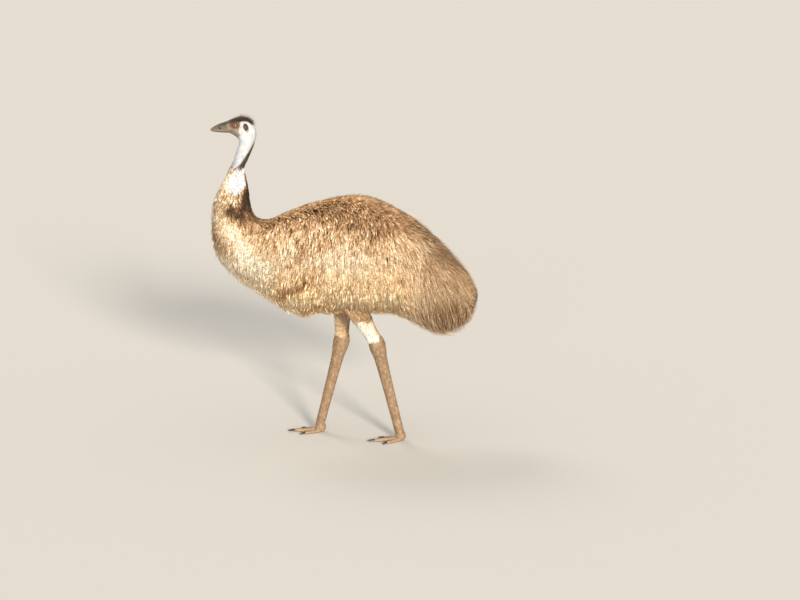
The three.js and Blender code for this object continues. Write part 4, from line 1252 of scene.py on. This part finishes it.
def shank_coat(name):
    """Short feathers of the drumstick. On the near leg they are palest outside and in front, partly their own colour
    and partly painted sunlight; the far leg gets painted shade.
    """
    leg = LEGS[name]
    side = 1 if leg["knee"][0] > 0 else -1
    n = 3300 // 1
    share = 0.30 + 0.66 * np.sqrt(rng.random(n)) ** 1.1
    ang = rng.uniform(0, 2 * math.pi, n)
    origin, along, length, fore, sidev = limb_frame(leg["knee"], leg["hock"])
    size = np.interp(share, [0.3, 0.7, 0.95], [60, 34, 20]) * rng.uniform(0.75, 1.25, n)
    # the last ones end unevenly over the top of the hock
    last = 0.962 + 0.022 * np.sin(3 * ang + 1.0) + rng.uniform(-0.02, 0.012, n)
    share = np.minimum(share, last - size / length)
    inset = np.interp(share, [0.3, 0.6, 0.8, 0.93], [16, 9, 5, 2.2])
    outv = sidev * np.cos(ang)[:, None] + fore * np.sin(ang)[:, None]
    k = 3
    path = np.zeros((n, k, 3))
    twist = rng.normal(0, 0.07, n)
    loose = rng.uniform(0, 1, n) ** 2 * np.interp(share, [0.3, 0.6, 0.8], [14, 7, 1.2])
    for i, s in enumerate([0.0, 0.6, 1.0]):
        sh = np.minimum(share + size * s / length, 1.0)
        g = -inset * (1 - s) + (0.6 + loose + 2.8 * ramp(share, 0.84, 0.92)) * s - 0.8
        path[:, i] = limb_points(leg["knee"], leg["hock"], SHANK, sh, ang + twist * s, g)
    p = path[:, 1]
    outer = ramp(outv[:, 0] * side, -0.3, 0.6)
    front = ramp(-outv[:, 1], -0.6, 0.4)
    # near leg: palest outside and in front, partly pale feathers and partly painted sunlight; far leg: a duller buff
    # all round, painted shade
    v = 0.46 + 0.66 * outer * (0.85 + 0.15 * front) * ramp(share, 0.25, 0.4)
    if side < 0:
        v = 0.74 + 0.06 * outer + 0.04 * ramp(share, 0.3, 0.6)
    rear = ramp(outv[:, 1], 0.35, 0.9) * ramp(share, 0.62, 0.86)
    v = v - 0.40 * rear - 0.25 * ramp(share, 0.93, 0.97)
    # brown feathers of the thigh hang over the top of it
    v = v - (0.46 if side > 0 else 0.12) * ramp(p[:, 2] + 10 * wave(p, 18, 92), 568, 584)
    v = v + 0.05 * wave(p, 40, 91) + rng.normal(0, 0.04, n)
    # the far leg greyer all round as painted shade; on the near leg the grey at the top follows the brown thigh
    # feathers
    grey = np.full(n, 0.0 if side > 0 else 0.55) + (side > 0) * 0.45 * ramp(p[:, 2], 566, 590)
    shade = np.interp(v, [0.6, 0.9], [0.55, 0.95])
    colour = np.stack([tone(v * shade, grey), tone(v * 0.94, grey), tone(v * 1.03, grey)], 1)
    # the palest feathers whitened: partly their own colour, partly painted sunlight
    colour = mix(colour, srgb(238, 236, 228), 0.8 * ramp(v, 0.85, 1.0)[:, None] * np.ones((1, 3)))
    width = np.interp(share, [0.3, 0.95], [1.7, 1.1]) * rng.uniform(0.75, 1.25, n)
    half = width[:, None] * np.array([0.8, 1.0])[None]
    place = np.stack([(ang / (2 * math.pi)) % 1.0, np.clip((share - 0.2) / 0.8, 0, 1)], -1)
    strands("coat_shank_" + name, path, half, outv + rng.normal(0, 0.25, outv.shape), colour, place, DOWN)


# ------------------------------------------------------------------ build
skin = whole_skin()
bill_half(True)
bill_half(False)
eye(1)
eye(-1)
claws()
plumage()
wisps()
tail_core()
head_hair()
for leg_name in LEGS:
    shank_coat(leg_name)

# ------------------------------------------------------------------ stage
def studio():
    bpy.ops.mesh.primitive_circle_add(vertices=96, radius=180, fill_type="NGON", location=(0, 0, 0))
    floor = bpy.context.object
    floor.name = "floor"
    m, tree, shader = node_material("floor", 0.9, 0.0)
    shader.inputs["Base Color"].default_value = (0.60, 0.585, 0.56, 1)
    floor.data.materials.append(m)

    def sun(name, towards, angle, strength, colour):
        data = bpy.data.lights.new(name, "SUN")
        data.angle = math.radians(angle)
        data.energy = strength
        data.color = colour
        o = bpy.data.objects.new(name, data)
        bpy.context.scene.collection.objects.link(o)
        o.location = Vector(towards) * 5
        o.rotation_euler = Vector(towards).to_track_quat("Z", "Y").to_euler()

    sun("key", (1.0, 0.26, 0.25), 9, 5.7, (1.0, 0.90, 0.75))
    sun("fill", (1.0, -0.10, 0.03), 35, 1.7, (1.0, 0.90, 0.76))
    sun("rim", (-0.8, -0.5, 0.9), 25, 0.8, (1.0, 0.98, 0.95))
    world = bpy.data.worlds.new("studio")
    world.use_nodes = True
    world.node_tree.nodes["Background"].inputs["Color"].default_value = (1.0, 0.975, 0.93, 1)
    world.node_tree.nodes["Background"].inputs["Strength"].default_value = 0.66
    bpy.context.scene.world = world
    bpy.context.scene.view_settings.view_transform = "Standard"


studio()
